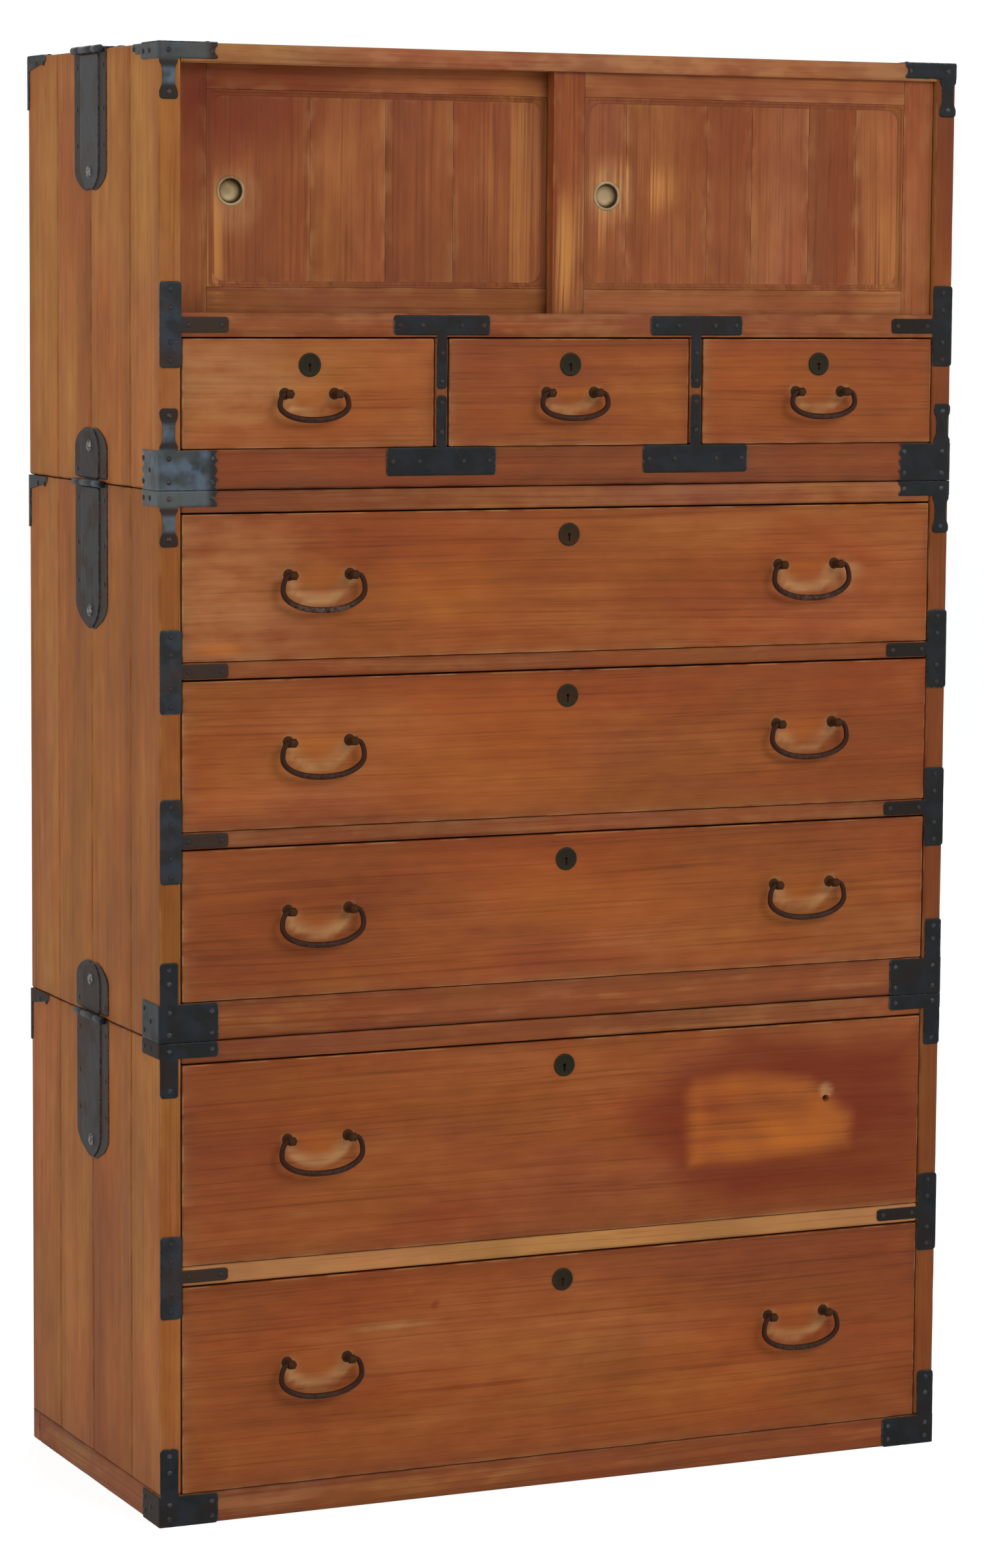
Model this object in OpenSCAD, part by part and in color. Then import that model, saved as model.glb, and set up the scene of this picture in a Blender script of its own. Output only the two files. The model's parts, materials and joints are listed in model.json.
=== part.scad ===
// Stacking travel chest in three lift-off sections: a cupboard with sliding doors over three small
// drawers, a middle case of three drawers and a base case of two, all bound with thin iron.
// +X is to the right as the chest is faced, -Y is the front and +Z is up. The origin is the middle of
// the underside, on the floor.

/* [Cases] */
// Width of every section over its side panels
case_w = 970; // [920:5:1040]
// Depth of every section from front to back
case_d = 430; // [390:5:470]
// Thickness of the side panels
side_t = 25; // [22:1:30]
// Thickness of the back panels
back_t = 9; // [6:1:12]
// Thickness of the top boards of the base and the middle case
deck_t = 24; // [20:1:28]
// Thickness of the board on top of the chest
lid_t = 20; // [18:1:26]
// Thickness of the dust boards and bottom boards
floor_t = 8; // [6:1:12]
// Depth of the front rails, from front to back
rail_d = 45; // [30:1:70]
// Depth of the foot rails, from front to back
foot_d = 24; // [18:1:36]
// Gap between stacked sections
stack_gap = 0.4; // [0.3:0.1:1]
// Glue line between neighbouring boards of one piece
seam = 0.1; // [0.05:0.05:0.2]

/* [Base case] */
// Height of the foot frame under the base case
base_foot_h = 35; // [30:1:48]
// Height of the lower drawer opening
base_lower_h = 232; // [200:1:260]
// Height of the rail between the two drawers
base_rail_t = 22; // [19:1:30]
// Height of the upper drawer opening
base_upper_h = 224; // [190:1:250]
// Width of the middle skid of the foot frame
skid_w = 60; // [40:1:90]

/* [Middle case] */
// Height of the foot rail
middle_foot_h = 43; // [30:1:55]
// Height of the lower drawer opening
middle_lower_h = 167; // [140:1:200]
// Height of the rails between the drawers
middle_rail_t = 19; // [19:1:28]
// Height of the centre drawer opening
middle_centre_h = 165; // [140:1:200]
// Height of the upper drawer opening
middle_upper_h = 161; // [140:1:200]

/* [Top case] */
// Height of the foot rail
top_foot_h = 44; // [34:1:55]
// Height of the openings of the three small drawers
small_h = 120; // [110:1:150]
// Thickness of the uprights between the small drawers
divider_t = 16; // [14:1:22]
// Thickness of the shelf under the cupboard
shelf_t = 26; // [24:1:32]
// Height of the cupboard opening
cupboard_h = 265; // [220:1:320]

/* [Sliding doors] */
// Thickness of a door
door_t = 15; // [13:1:18]
// Clearance between a door and each wall of its groove
door_play = 0.5; // [0.3:0.1:0.8]
// Depth of the grooves in the shelf
lower_groove = 3; // [2:0.5:5]
// Depth of the grooves in the top board
upper_groove = 8; // [6:0.5:10]
// Height that a door can be lifted in its upper groove
door_lift = 3.2; // [2.2:0.1:5]
// Wood left in front of the front groove
groove_lip = 6; // [5:0.5:10]
// Wood left between the two grooves
groove_rib = 4; // [3:0.5:8]
// Width by which the closed doors overlap
door_overlap = 40; // [30:1:60]
// Width of the upright members of a door frame
door_stile_w = 38; // [30:1:46]
// Height of the bottom member of a door frame that shows
door_foot_h = 27; // [20:1:36]
// Height of the top member of a door frame that shows
door_head_h = 27; // [20:1:36]
// Thickness of the door panels
door_panel_t = 9; // [8:0.5:10]
// Depth of a door panel behind its frame
door_panel_set = 2.5; // [1:0.5:3]
// Distance of a finger cup from the left edge of its door
cup_in = 67; // [60:1:90]
// Height of a finger cup above the shelf
cup_up = 130; // [80:1:170]
// Radius of the hollow of a finger cup
cup_r = 13; // [11:0.5:16]
// Depth of a finger cup
cup_depth = 7; // [5:0.5:7.5]
// Thickness of the metal of a finger cup
cup_wall = 1; // [0.8:0.1:1.5]
// Width of the rim round a finger cup
cup_rim = 2.5; // [1.5:0.5:4]

/* [Drawers] */
// Gap at each side of a drawer front
front_gap = 1; // [0.6:0.1:2]
// Gap over a drawer front
head_gap = 1.5; // [0.8:0.1:3]
// Gap under a drawer, where it runs on its rail
seat_gap = 0.3; // [0.2:0.1:0.4]
// Thickness of the drawer fronts
front_t = 18; // [15:1:24]
// Thickness of the drawer sides and backs
box_t = 9; // [7:1:12]
// Thickness of the drawer bottoms
bottom_t = 6; // [5:1:9]
// Height that the drawer sides stay below the top of the front
box_drop = 8; // [5:1:20]
// Gap behind a closed drawer
rear_gap = 14; // [5:1:40]

/* [Locks] */
// Distance of a keyhole below the top of its drawer opening
keyhole_down = 30; // [22:1:34]
// Radius of a keyhole plate
plate_r = 13; // [10:0.5:16]
// Thickness of a keyhole plate
plate_t = 1.4; // [1:0.1:2]
// Radius of the round part of a keyhole
keyhole_r = 1.9; // [1.5:0.1:1.9]
// Width of the slot of a keyhole
keyslot_w = 1.8; // [1.4:0.1:2.4]
// Length of the slot of a keyhole below its middle
keyslot_h = 7; // [5:0.5:9]
// Width of a lock case
lock_w = 62; // [50:1:80]
// Height of a lock case
lock_h = 40; // [34:1:44]
// Thickness of a lock case
lock_t = 9; // [7:1:12]

/* [Bails] */
// Distance of the bails of a wide drawer from the middle
bail_spread = 300; // [240:5:330]
// Half the width of a large bail, to the middle of its bar
large_half = 48; // [46:1:56]
// Drop of a large bail, from its pins to the middle of its bar
large_drop = 38; // [32:1:46]
// Half the distance between the posts of a large bail
large_post = 36; // [30:1:38]
// Half the width of a small bail, to the middle of its bar
small_half = 40; // [39:1:46]
// Drop of a small bail, from its pins to the middle of its bar
small_drop = 28; // [26:1:34]
// Half the distance between the posts of a small bail
small_post = 29; // [24:1:30]
// Height of the large bails' pins over the middle of the openings of the middle case
middle_rise = 12; // [0:1:20]
// Height of the large bails' pins over the middle of the openings of the base case
base_rise = 21; // [0:1:30]
// Height of the small bails' pins below the middle of their openings
small_fall = 1; // [0:1:8]
// Radius of the bar of a bail
bail_r = 3.3; // [2.8:0.1:3.8]
// Radius of the pins at the ends of a bail
bail_pin_r = 2.2; // [1.8:0.1:2.5]
// Distance of the bail pins in front of the wood
bail_reach = 14; // [12:0.5:18]
// Length of a bail pin past the eye of its post
pin_end = 1.5; // [1:0.5:3]
// Gap between the shoulder of a bail and its post
bail_gap = 0.4; // [0.3:0.1:0.5]
// Radius of the bend next to a bail pin
elbow_r = 5; // [4:0.5:6]
// Radius of the bend at the foot of a large bail
large_bend = 24; // [18:1:28]
// Radius of the bend at the foot of a small bail
small_bend = 18; // [14:1:20]
// Radius of the eye of a post
eye_r = 4.8; // [4.2:0.1:5.4]
// Width of the eye of a post
eye_w = 8; // [6:0.5:9]
// Radius of the shank of a post
shank_r = 2.4; // [2:0.1:3]
// Radius of the washer under a post
rose_r = 6.5; // [5:0.5:8]
// Thickness of the washer under a post
rose_t = 1.2; // [0.8:0.1:2]
// Length of a post's shank that stands out behind the drawer front
clench = 3; // [2:0.5:5]
// Running clearance on the radius of every pin
pin_play = 0.06; // [0.02:0.01:0.1]

/* [Irons] */
// Thickness of the iron straps
iron_t = 1.6; // [1:0.1:2.4]
// Length of the level arm of a corner iron
corner_arm = 68; // [55:1:90]
// Wood left bare over the level arm at the lower corners
foot_iron_set = 1; // [0.8:0.1:3]
// Height of the level arm at the upper corners
corner_arm_h = 17; // [13:1:18]
// Length of the upright arm at the upper corners
upper_leg = 60; // [45:1:90]
// Length of the upright arm at the lower corners
lower_leg = 88; // [70:1:110]
// Width of the upright arms of the corner irons
corner_leg_w = 21; // [17:1:25]
// Length of the arm round the side at the front corners
wrap_front = 54; // [35:1:70]
// Length of the arm round the side at the topmost front corners, with its thin end
wrap_top = 82; // [72:1:90]
// Height of that thin end
wrap_tip_h = 11; // [9:1:13]
// Length of the arm round the side at the upper back corners
wrap_back = 64; // [40:1:70]
// Width of the strip down the side at the upper back corners
back_edge_w = 7; // [5:1:12]
// Length of the upright bar of the irons at the ends of the rails
tee_bar = 92; // [70:1:110]
// Length of the level arm of the irons at the ends of the rails
tee_arm = 54; // [40:1:80]
// Height of that level arm
tee_arm_h = 17; // [12:1:18]
// Length of the iron over a divider on the shelf
shelf_strap = 116; // [90:1:140]
// Height of the iron over a divider on the shelf
shelf_strap_h = 22; // [16:1:23]
// Length of the iron under a divider on the foot rail
foot_strap = 132; // [100:1:160]
// Height of the iron under a divider on the foot rail
foot_strap_h = 31; // [22:1:33]
// Width of the iron facing of a divider
facing_w = 14; // [10:1:14]
// Bare wood between the two irons that face a divider
facing_gap = 7; // [4:1:20]

/* [Side straps] */
// Width of a side strap
strap_w = 104; // [90:1:120]
// Length of a side strap below the top of its section
strap_l = 163; // [130:1:190]
// Length of the hinged leaf of a side strap
leaf_l = 62; // [50:1:80]
// Width of the raised strip down the middle
strip_w = 58; // [46:1:70]
// Thickness of the raised strip
strip_t = 1; // [0.6:0.1:1.4]
// Length of the tapered end of a strap
taper_l = 33; // [24:1:45]
// Width of the tip of a strap or leaf
tip_w = 54; // [44:1:70]
// Depth of the notch in the tip of a strap or leaf
tip_notch = 5; // [3:0.5:8]
// Radius of the hinge knuckles
knuckle_r = 4; // [3.6:0.1:4.4]
// Gap between a hinge knuckle and the wood behind it
knuckle_off = 1; // [0.5:0.1:2]
// Gap between a hinge knuckle and the metal beside it
knuckle_clear = 0.6; // [0.4:0.1:1]
// Gap between an outer knuckle and the shoulder of the leaf
shoulder_gap = 1.2; // [0.8:0.1:2]
// Radius of the hinge pins
hinge_pin_r = 1.6; // [1.2:0.1:2]
// Length of the middle knuckle, which is the leaf's
knuckle_w = 40; // [30:1:50]
// Length of each outer knuckle
outer_knuckle_w = 24; // [16:1:28]
// Gap between neighbouring knuckles
knuckle_gap = 0.4; // [0.3:0.1:0.8]
// Gap between a leaf and the wood that it lies on
leaf_gap = 0.5; // [0.3:0.1:0.8]
// Radius of the stud at the tip of a strap or leaf
stud_r = 7; // [5:0.5:9]
// Height of that stud
stud_h = 3; // [2:0.5:4]
// Distance of that stud above the middle of the taper
stud_in = 6; // [2:1:10]

/* [Hidden] */
$fn = 48;
front_y = -case_d / 2;
back_y = case_d / 2;
bay_w = case_w - 2 * side_t;
inner_y = back_y - back_t;
// How far a cut runs past the face that it starts from
over = 1;
// How far joined metal runs into its neighbour
eps = 0.01;

// Levels of the base case
base_lower_z = base_foot_h;
base_rail_z = base_lower_z + base_lower_h;
base_upper_z = base_rail_z + base_rail_t;
base_deck_z = base_upper_z + base_upper_h;
base_top = base_deck_z + deck_t;

// Levels of the middle case
middle_z = base_top + stack_gap;
middle_lower_z = middle_z + middle_foot_h;
middle_rail_1_z = middle_lower_z + middle_lower_h;
middle_centre_z = middle_rail_1_z + middle_rail_t;
middle_rail_2_z = middle_centre_z + middle_centre_h;
middle_upper_z = middle_rail_2_z + middle_rail_t;
middle_deck_z = middle_upper_z + middle_upper_h;
middle_top = middle_deck_z + deck_t;

// Levels of the top case
top_z = middle_top + stack_gap;
small_z = top_z + top_foot_h;
shelf_z = small_z + small_h;
cupboard_z = shelf_z + shelf_t;
lid_z = cupboard_z + cupboard_h;
top_top = lid_z + lid_t;

// Bays of the small drawers
small_bay_w = (bay_w - 2 * divider_t) / 3;
small_pitch = small_bay_w + divider_t;

// Grooves and doors
groove_w = door_t + 2 * door_play;
front_groove_y = front_y + groove_lip;
rear_groove_y = front_groove_y + groove_w + groove_rib;
door_w = (bay_w + door_overlap) / 2 - door_play;
door_z = cupboard_z - lower_groove + seat_gap;
door_top = lid_z + upper_groove - door_lift;

// Hinges: distance of the axis outside the face of the side panel, and start of the leaf past it
hinge_out = knuckle_r + knuckle_off;
leaf_start = knuckle_r + shoulder_gap;

// Every drawer: name, middle in x, width of its opening, floor level, height of its opening, height of
// its bail pins over the middle of the opening, small or large bail, and names and places of its bails
SMALL = 0;
LARGE = 1;
BOTH = [["left_", -bail_spread], ["right_", bail_spread]];
LEFT_ONLY = [["left_", -bail_spread]];
MIDDLE = [["", 0]];
DRAWERS = [
    ["top_left", -small_pitch, small_bay_w, small_z, small_h, -small_fall, SMALL, MIDDLE],
    ["top_centre", 0, small_bay_w, small_z, small_h, -small_fall, SMALL, MIDDLE],
    ["top_right", small_pitch, small_bay_w, small_z, small_h, -small_fall, SMALL, MIDDLE],
    ["middle_upper", 0, bay_w, middle_upper_z, middle_upper_h, middle_rise, LARGE, BOTH],
    ["middle_centre", 0, bay_w, middle_centre_z, middle_centre_h, middle_rise, LARGE, BOTH],
    ["middle_lower", 0, bay_w, middle_lower_z, middle_lower_h, middle_rise, LARGE, BOTH],
    ["base_upper", 0, bay_w, base_upper_z, base_upper_h, base_rise, LARGE, LEFT_ONLY],
    ["base_lower", 0, bay_w, base_lower_z, base_lower_h, base_rise, LARGE, BOTH]
];
// The drawer whose right bail is lost: one empty post hole is left in its front
BARE_DRAWER = "base_upper";

// Names of the two sides, as the chest is faced
SIDES = ["left", "right"];

// Sizes worked out for one drawer
function opening_top(d) = d[3] + d[4];
function front_w(d) = d[2] - 2 * front_gap;
function front_z(d) = d[3] + seat_gap;
function front_top(d) = opening_top(d) - head_gap;
function pin_z(d) = d[3] + d[4] / 2 + d[5];
function keyhole_z(d) = opening_top(d) - keyhole_down;
function post_half(d) = d[6] == LARGE ? large_post : small_post;
function bail_half(d) = d[6] == LARGE ? large_half : small_half;
function bail_drop(d) = d[6] == LARGE ? large_drop : small_drop;
function bail_bend(d) = d[6] == LARGE ? large_bend : small_bend;

// Places of the posts of one drawer, in x
function post_places(d) = [for (b = d[7], s = [-1, 1]) d[1] + b[1] + s * post_half(d)];
// Places of the post holes: the posts and the empty hole of the lost bail
function hole_places(d) = concat(post_places(d), d[0] == BARE_DRAWER ? [bail_spread + large_post] : []);

// A board from its lowest to its highest corner
module board(x, y, z) {
    translate([x[0], y[0], z[0]]) cube([x[1] - x[0], y[1] - y[0], z[1] - z[0]]);
}

// Draws something at the left side and its mirror image at the right side
module both_sides() {
    for (s = [0, 1]) mirror([s, 0, 0]) children();
}

// A round bar along X, centred on the given place
module bar_x(r, x0, x1) {
    translate([x0, 0, 0]) rotate([0, 90, 0]) cylinder(r = r, h = x1 - x0);
}

// A round bar along Y
module bar_y(r, y0, y1) {
    translate([0, y0, 0]) rotate([-90, 0, 0]) cylinder(r = r, h = y1 - y0);
}

// Two side panels
module side_panels(z0, z1) {
    color("peru") both_sides() board([-case_w / 2, -bay_w / 2], [front_y, back_y], [z0, z1]);
}

// A back panel between the sides
module back_panel(z0, z1) {
    color("tan") board([-bay_w / 2, bay_w / 2], [inner_y, back_y], [z0, z1]);
}

// A board the full width of the bay
module bay_board(y0, y1, z0, z1) {
    board([-bay_w / 2, bay_w / 2], [y0, y1], [z0, z1]);
}

// A front rail with its dust board behind, level at the top
module rail(z0, t) {
    bay_board(front_y, front_y + rail_d, z0, z0 + t);
    bay_board(front_y + rail_d + seam, inner_y, z0 + t - floor_t, z0 + t);
}

// The foot of a section that stands on another: front and back rails and the bottom board
module foot(z0, h) {
    bay_board(front_y, front_y + foot_d, z0, z0 + h);
    bay_board(inner_y - foot_d, inner_y, z0, z0 + h);
    bay_board(front_y + foot_d + seam, inner_y - foot_d - seam, z0 + h - floor_t, z0 + h);
}

// Foot frame of the base case: front and back battens, side battens, middle skid and bottom board
module base_foot_frame() {
    y0 = front_y + foot_d + seam;
    y1 = back_y - foot_d - seam;
    floor_z = base_foot_h - floor_t;
    color("sienna") {
        board([-case_w / 2, case_w / 2], [front_y, front_y + foot_d], [0, base_foot_h]);
        board([-case_w / 2, case_w / 2], [back_y - foot_d, back_y], [0, base_foot_h]);
        both_sides() board([-case_w / 2, -bay_w / 2 - seam], [y0, y1], [0, base_foot_h]);
        board([-skid_w / 2, skid_w / 2], [y0, y1], [0, floor_z - seam]);
        bay_board(y0, y1, floor_z, base_foot_h);
    }
}

module base_sides() { side_panels(base_foot_h, base_top); }
module base_back() { back_panel(base_foot_h, base_deck_z); }
module base_boards() {
    color("chocolate") {
        rail(base_rail_z, base_rail_t);
        bay_board(front_y, back_y, base_deck_z, base_top);
    }
}

module middle_sides() { side_panels(middle_z, middle_top); }
module middle_back() { back_panel(middle_z, middle_deck_z); }
module middle_boards() {
    color("chocolate") {
        foot(middle_z, middle_foot_h);
        rail(middle_rail_1_z, middle_rail_t);
        rail(middle_rail_2_z, middle_rail_t);
        bay_board(front_y, back_y, middle_deck_z, middle_top);
    }
}

module top_sides() { side_panels(top_z, top_top); }
module top_back() { back_panel(top_z, lid_z); }

// The two grooves that the doors run in, from z0 up to z1
module door_grooves(z0, z1) {
    for (y = [front_groove_y, rear_groove_y])
        board([-bay_w / 2 - over, bay_w / 2 + over], [y, y + groove_w], [z0, z1]);
}

// Foot, grooved shelf and grooved top board of the top case
module top_boards() {
    color("chocolate") {
        foot(top_z, top_foot_h);
        difference() {
            bay_board(front_y, inner_y, shelf_z, cupboard_z);
            door_grooves(cupboard_z - lower_groove, cupboard_z + over);
        }
        difference() {
            bay_board(front_y, back_y, lid_z, top_top);
            door_grooves(lid_z - over, lid_z + upper_groove);
        }
    }
}

module top_dividers() {
    color("chocolate")
        both_sides()
            translate([-small_pitch / 2, 0, 0])
                board([-divider_t / 2, divider_t / 2], [front_y, inner_y], [small_z, shelf_z]);
}

// A corner iron at a front left lower corner, which lies at the origin: a level arm and an upright arm
// on the front, arms of the given lengths and heights round the side, and, where capped, a plate over
// the end
module corner_iron(arm_h, leg, wraps, capped) {
    edge = len(wraps) > 0 ? -iron_t : 0;
    board([edge, corner_arm], [-iron_t, 0], [0, arm_h]);
    board([edge, corner_leg_w], [-iron_t, 0], [0, leg]);
    for (w = wraps) board([-iron_t, 0], [-iron_t, w[0]], [0, w[1]]);
    if (capped) {
        board([-iron_t, corner_arm], [-iron_t, corner_leg_w], [-iron_t, 0]);
        board([-iron_t, corner_leg_w], [-iron_t, wraps[0][0]], [-iron_t, 0]);
    }
}

// The eight corner irons of a section. Those at the lower back corners don't reach round the side.
module corner_irons(z0, z1, foot_h, capped) {
    foot_arm_h = foot_h - foot_iron_set;
    for (back = [0, 1]) {
        lower_wraps = back == 1 ? [] : [[wrap_front, foot_arm_h]];
        upper_wraps = back == 1
            ? [[wrap_back, corner_arm_h], [back_edge_w, upper_leg]]
            : [[wrap_front, corner_arm_h], if (capped) [wrap_top, wrap_tip_h]];
        both_sides() mirror([0, back, 0]) {
            translate([-case_w / 2, front_y, z0])
                corner_iron(foot_arm_h, lower_leg, lower_wraps, false);
            translate([-case_w / 2, front_y, z1])
                mirror([0, 0, 1]) corner_iron(corner_arm_h, upper_leg, upper_wraps, capped);
        }
    }
}

// The irons at both ends of a front rail
module rail_irons(z0, t) {
    both_sides() translate([-case_w / 2, front_y, z0 + t / 2]) {
        board([-iron_t, side_t], [-iron_t, 0], [-tee_bar / 2, tee_bar / 2]);
        board([0, side_t + tee_arm], [-iron_t, 0], [-tee_arm_h / 2, tee_arm_h / 2]);
    }
}

// The irons that face the dividers: one hangs from the shelf and one stands on the foot rail
module divider_irons() {
    middle = (small_z + shelf_z) / 2;
    strap_z = shelf_z + (shelf_t - shelf_strap_h) / 2;
    both_sides() translate([-small_pitch / 2, front_y, 0]) {
        board([-shelf_strap / 2, shelf_strap / 2], [-iron_t, 0], [strap_z, strap_z + shelf_strap_h]);
        board([-facing_w / 2, facing_w / 2], [-iron_t, 0], [middle + facing_gap / 2, strap_z + eps]);
        board([-foot_strap / 2, foot_strap / 2], [-iron_t, 0], [small_z - foot_strap_h, small_z]);
        board([-facing_w / 2, facing_w / 2], [-iron_t, 0], [small_z - eps, middle - facing_gap / 2]);
    }
}

// Half outline of a strap's tip, from the middle outwards, with its end at zero and its body above
function tip_points() = [
    [0, tip_notch],
    [tip_notch, 0],
    [tip_w / 2, 0],
    [tip_w / 2, taper_l / 3]
];

// Outline of a fixed strap in the plane of the side panel: x is across, y is up, its top edge at zero
module strap_outline(w, l) {
    side = w / 2;
    for (s = [0, 1]) mirror([s, 0]) polygon(concat(
        [for (p = tip_points()) [p[0], p[1] - l]],
        [[side, taper_l - l], [side, 0], [0, 0]]
    ));
}

// Outline of a leaf: x is across, y is up from the hinge axis. Beside the middle knuckle it starts
// clear of the outer knuckles.
module leaf_outline(w) {
    side = w / 2;
    shoulder = leaf_l - taper_l / 2;
    for (s = [0, 1]) mirror([s, 0]) polygon(concat(
        [for (p = tip_points()) [p[0], leaf_l - p[1]]],
        [[side, shoulder], [side, leaf_start], [knuckle_w / 2, leaf_start], [knuckle_w / 2, 0], [0, 0]]
    ));
}

// Turns something drawn with x across and y up into the plane of the left side panel, its thickness
// going outwards from the face
module on_left_side() {
    rotate([90, 0, -90]) children();
}

// The fixed strap of one side with its outer knuckles, pin and stud, for a left side whose face and
// top edge meet at the origin
module side_strap() {
    cut = knuckle_r + knuckle_clear;
    leaf_knuckle = knuckle_w / 2 + knuckle_gap;
    difference() {
        union() {
            on_left_side() {
                linear_extrude(iron_t) strap_outline(strap_w, strap_l);
                translate([0, 0, iron_t - eps])
                    linear_extrude(strip_t + eps)
                        intersection() {
                            strap_outline(strap_w, strap_l);
                            translate([-strip_w / 2, -strap_l]) square([strip_w, strap_l - cut]);
                        }
                translate([0, taper_l / 2 + stud_in - strap_l, iron_t + strip_t - eps])
                    cylinder(r1 = stud_r, r2 = stud_r / 2, h = stud_h);
            }
            for (s = [0, 1]) mirror([0, s, 0])
                translate([-hinge_out, leaf_knuckle, 0]) {
                    bar_y(knuckle_r, 0, outer_knuckle_w);
                    board([0, hinge_out], [0, outer_knuckle_w], [-knuckle_r, 0]);
                }
        }
        translate([-hinge_out, 0, 0]) bar_y(hinge_pin_r + pin_play, -strap_w, strap_w);
        board([-hinge_out - knuckle_r, over], [-leaf_knuckle, leaf_knuckle], [-cut, over]);
    }
    translate([-hinge_out, 0, 0])
        bar_y(hinge_pin_r, -knuckle_w / 2 - outer_knuckle_w, knuckle_w / 2 + outer_knuckle_w);
}

// A leaf that stands up from the hinge: its inner face is at the given distance towards the wood from
// the hinge axis, which is at the origin
module leaf(inset) {
    difference() {
        union() {
            translate([inset, 0, 0]) on_left_side() {
                linear_extrude(iron_t) leaf_outline(strap_w);
                translate([0, 0, iron_t - eps])
                    linear_extrude(strip_t + eps)
                        intersection() {
                            leaf_outline(strap_w);
                            translate([-strip_w / 2, leaf_start]) square([strip_w, leaf_l]);
                        }
                translate([0, leaf_l - taper_l / 2 - stud_in, iron_t + strip_t - eps])
                    cylinder(r1 = stud_r, r2 = stud_r / 2, h = stud_h);
            }
            bar_y(knuckle_r, -knuckle_w / 2, knuckle_w / 2);
        }
        bar_y(hinge_pin_r + pin_play, -strap_w, strap_w);
    }
}

// The leaf of the base or the middle case, standing against the case above; side 0 is left, 1 is right
module standing_leaf(side, z) {
    color("darkslategray")
        mirror([side, 0, 0])
            translate([-case_w / 2 - hinge_out, 0, z]) leaf(hinge_out - leaf_gap);
}

// The leaf of the top case, folded down flat on the top board
module folded_leaf(side) {
    color("darkslategray")
        mirror([side, 0, 0])
            translate([-case_w / 2 - hinge_out, 0, top_top])
                rotate([0, 90, 0]) leaf(-leaf_gap);
}

// The two side straps of a section
module side_straps(z) {
    both_sides() translate([-case_w / 2, 0, z]) side_strap();
}

module base_irons() {
    color("darkslategray") {
        corner_irons(0, base_top, base_foot_h, false);
        rail_irons(base_rail_z, base_rail_t);
        side_straps(base_top);
    }
}

module middle_irons() {
    color("darkslategray") {
        corner_irons(middle_z, middle_top, middle_foot_h, false);
        rail_irons(middle_rail_1_z, middle_rail_t);
        rail_irons(middle_rail_2_z, middle_rail_t);
        side_straps(middle_top);
    }
}

module top_irons() {
    color("darkslategray") {
        corner_irons(top_z, top_top, top_foot_h, true);
        rail_irons(shelf_z, shelf_t);
        divider_irons();
        side_straps(top_top);
    }
}

// Place of a door: 0 is the left door in the rear groove, 1 the right door in the front groove
function door_x(side) = side == 0 ? -bay_w / 2 + door_play : bay_w / 2 - door_play - door_w;
function door_y(side) = (side == 0 ? rear_groove_y : front_groove_y) + door_play;
function cup_z() = cupboard_z + cup_up;

// A framed door: two stiles, a foot, a head and a set-back panel with the hole for its finger cup
module door(side) {
    x0 = door_x(side);
    x1 = x0 + door_w;
    y0 = door_y(side);
    in0 = x0 + door_stile_w + seam;
    in1 = x1 - door_stile_w - seam;
    foot_top = cupboard_z + door_foot_h;
    head_z = lid_z - door_head_h;
    color("chocolate") {
        board([x0, in0 - seam], [y0, y0 + door_t], [door_z, door_top]);
        board([in1 + seam, x1], [y0, y0 + door_t], [door_z, door_top]);
        board([in0, in1], [y0, y0 + door_t], [door_z, foot_top]);
        board([in0, in1], [y0, y0 + door_t], [head_z, door_top]);
        difference() {
            board([in0, in1], [y0 + door_panel_set, y0 + door_panel_set + door_panel_t],
                  [foot_top + seam, head_z - seam]);
            translate([x0 + cup_in, y0, cup_z()]) bar_y(cup_r + cup_wall + pin_play, 0, door_t);
        }
    }
}

// A pressed finger cup with a thin rim on the face of the door panel
module door_cup(side) {
    outer = cup_r + cup_wall;
    color("darkkhaki")
        translate([door_x(side) + cup_in, door_y(side) + door_panel_set, cup_z()])
            rotate([-90, 0, 0])
                rotate_extrude() polygon([
                    [0, cup_depth],
                    [0, cup_depth + cup_wall],
                    [outer, cup_depth + cup_wall],
                    [outer, 0],
                    [outer + cup_rim, 0],
                    [outer + cup_rim, -cup_wall / 2],
                    [cup_r, -cup_wall / 2],
                    [cup_r, cup_depth]
                ]);
}

// Keyhole outline with its round part at the origin
module keyhole_outline() {
    circle(keyhole_r);
    translate([-keyslot_w / 2, -keyslot_h]) square([keyslot_w, keyslot_h]);
}

// Solid of a keyhole along Y, to be cut out
module keyhole_cut(y0, y1) {
    translate([0, y1, 0]) rotate([90, 0, 0]) linear_extrude(y1 - y0) keyhole_outline();
}

module drawer_front(d) {
    color("sienna")
        difference() {
            board([d[1] - front_w(d) / 2, d[1] + front_w(d) / 2], [front_y, front_y + front_t],
                  [front_z(d), front_top(d)]);
            translate([d[1], 0, keyhole_z(d)]) keyhole_cut(front_y - over, front_y + front_t + over);
            for (x = hole_places(d))
                translate([x, 0, pin_z(d)])
                    bar_y(shank_r + pin_play, front_y - over, front_y + front_t + over);
        }
}

// Sides, back and bottom of a drawer
module drawer_box(d) {
    half = front_w(d) / 2;
    y0 = front_y + front_t;
    y1 = inner_y - rear_gap;
    z0 = front_z(d);
    z1 = front_top(d) - box_drop;
    color("burlywood")
        translate([d[1], 0, 0]) {
            both_sides() board([-half, -half + box_t - seam], [y0, y1], [z0, z1]);
            board([-half + box_t, half - box_t], [y1 - box_t, y1], [z0, z1]);
            board([-half + box_t, half - box_t], [y0, y1 - box_t - seam], [z0, z0 + bottom_t]);
        }
}

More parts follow.
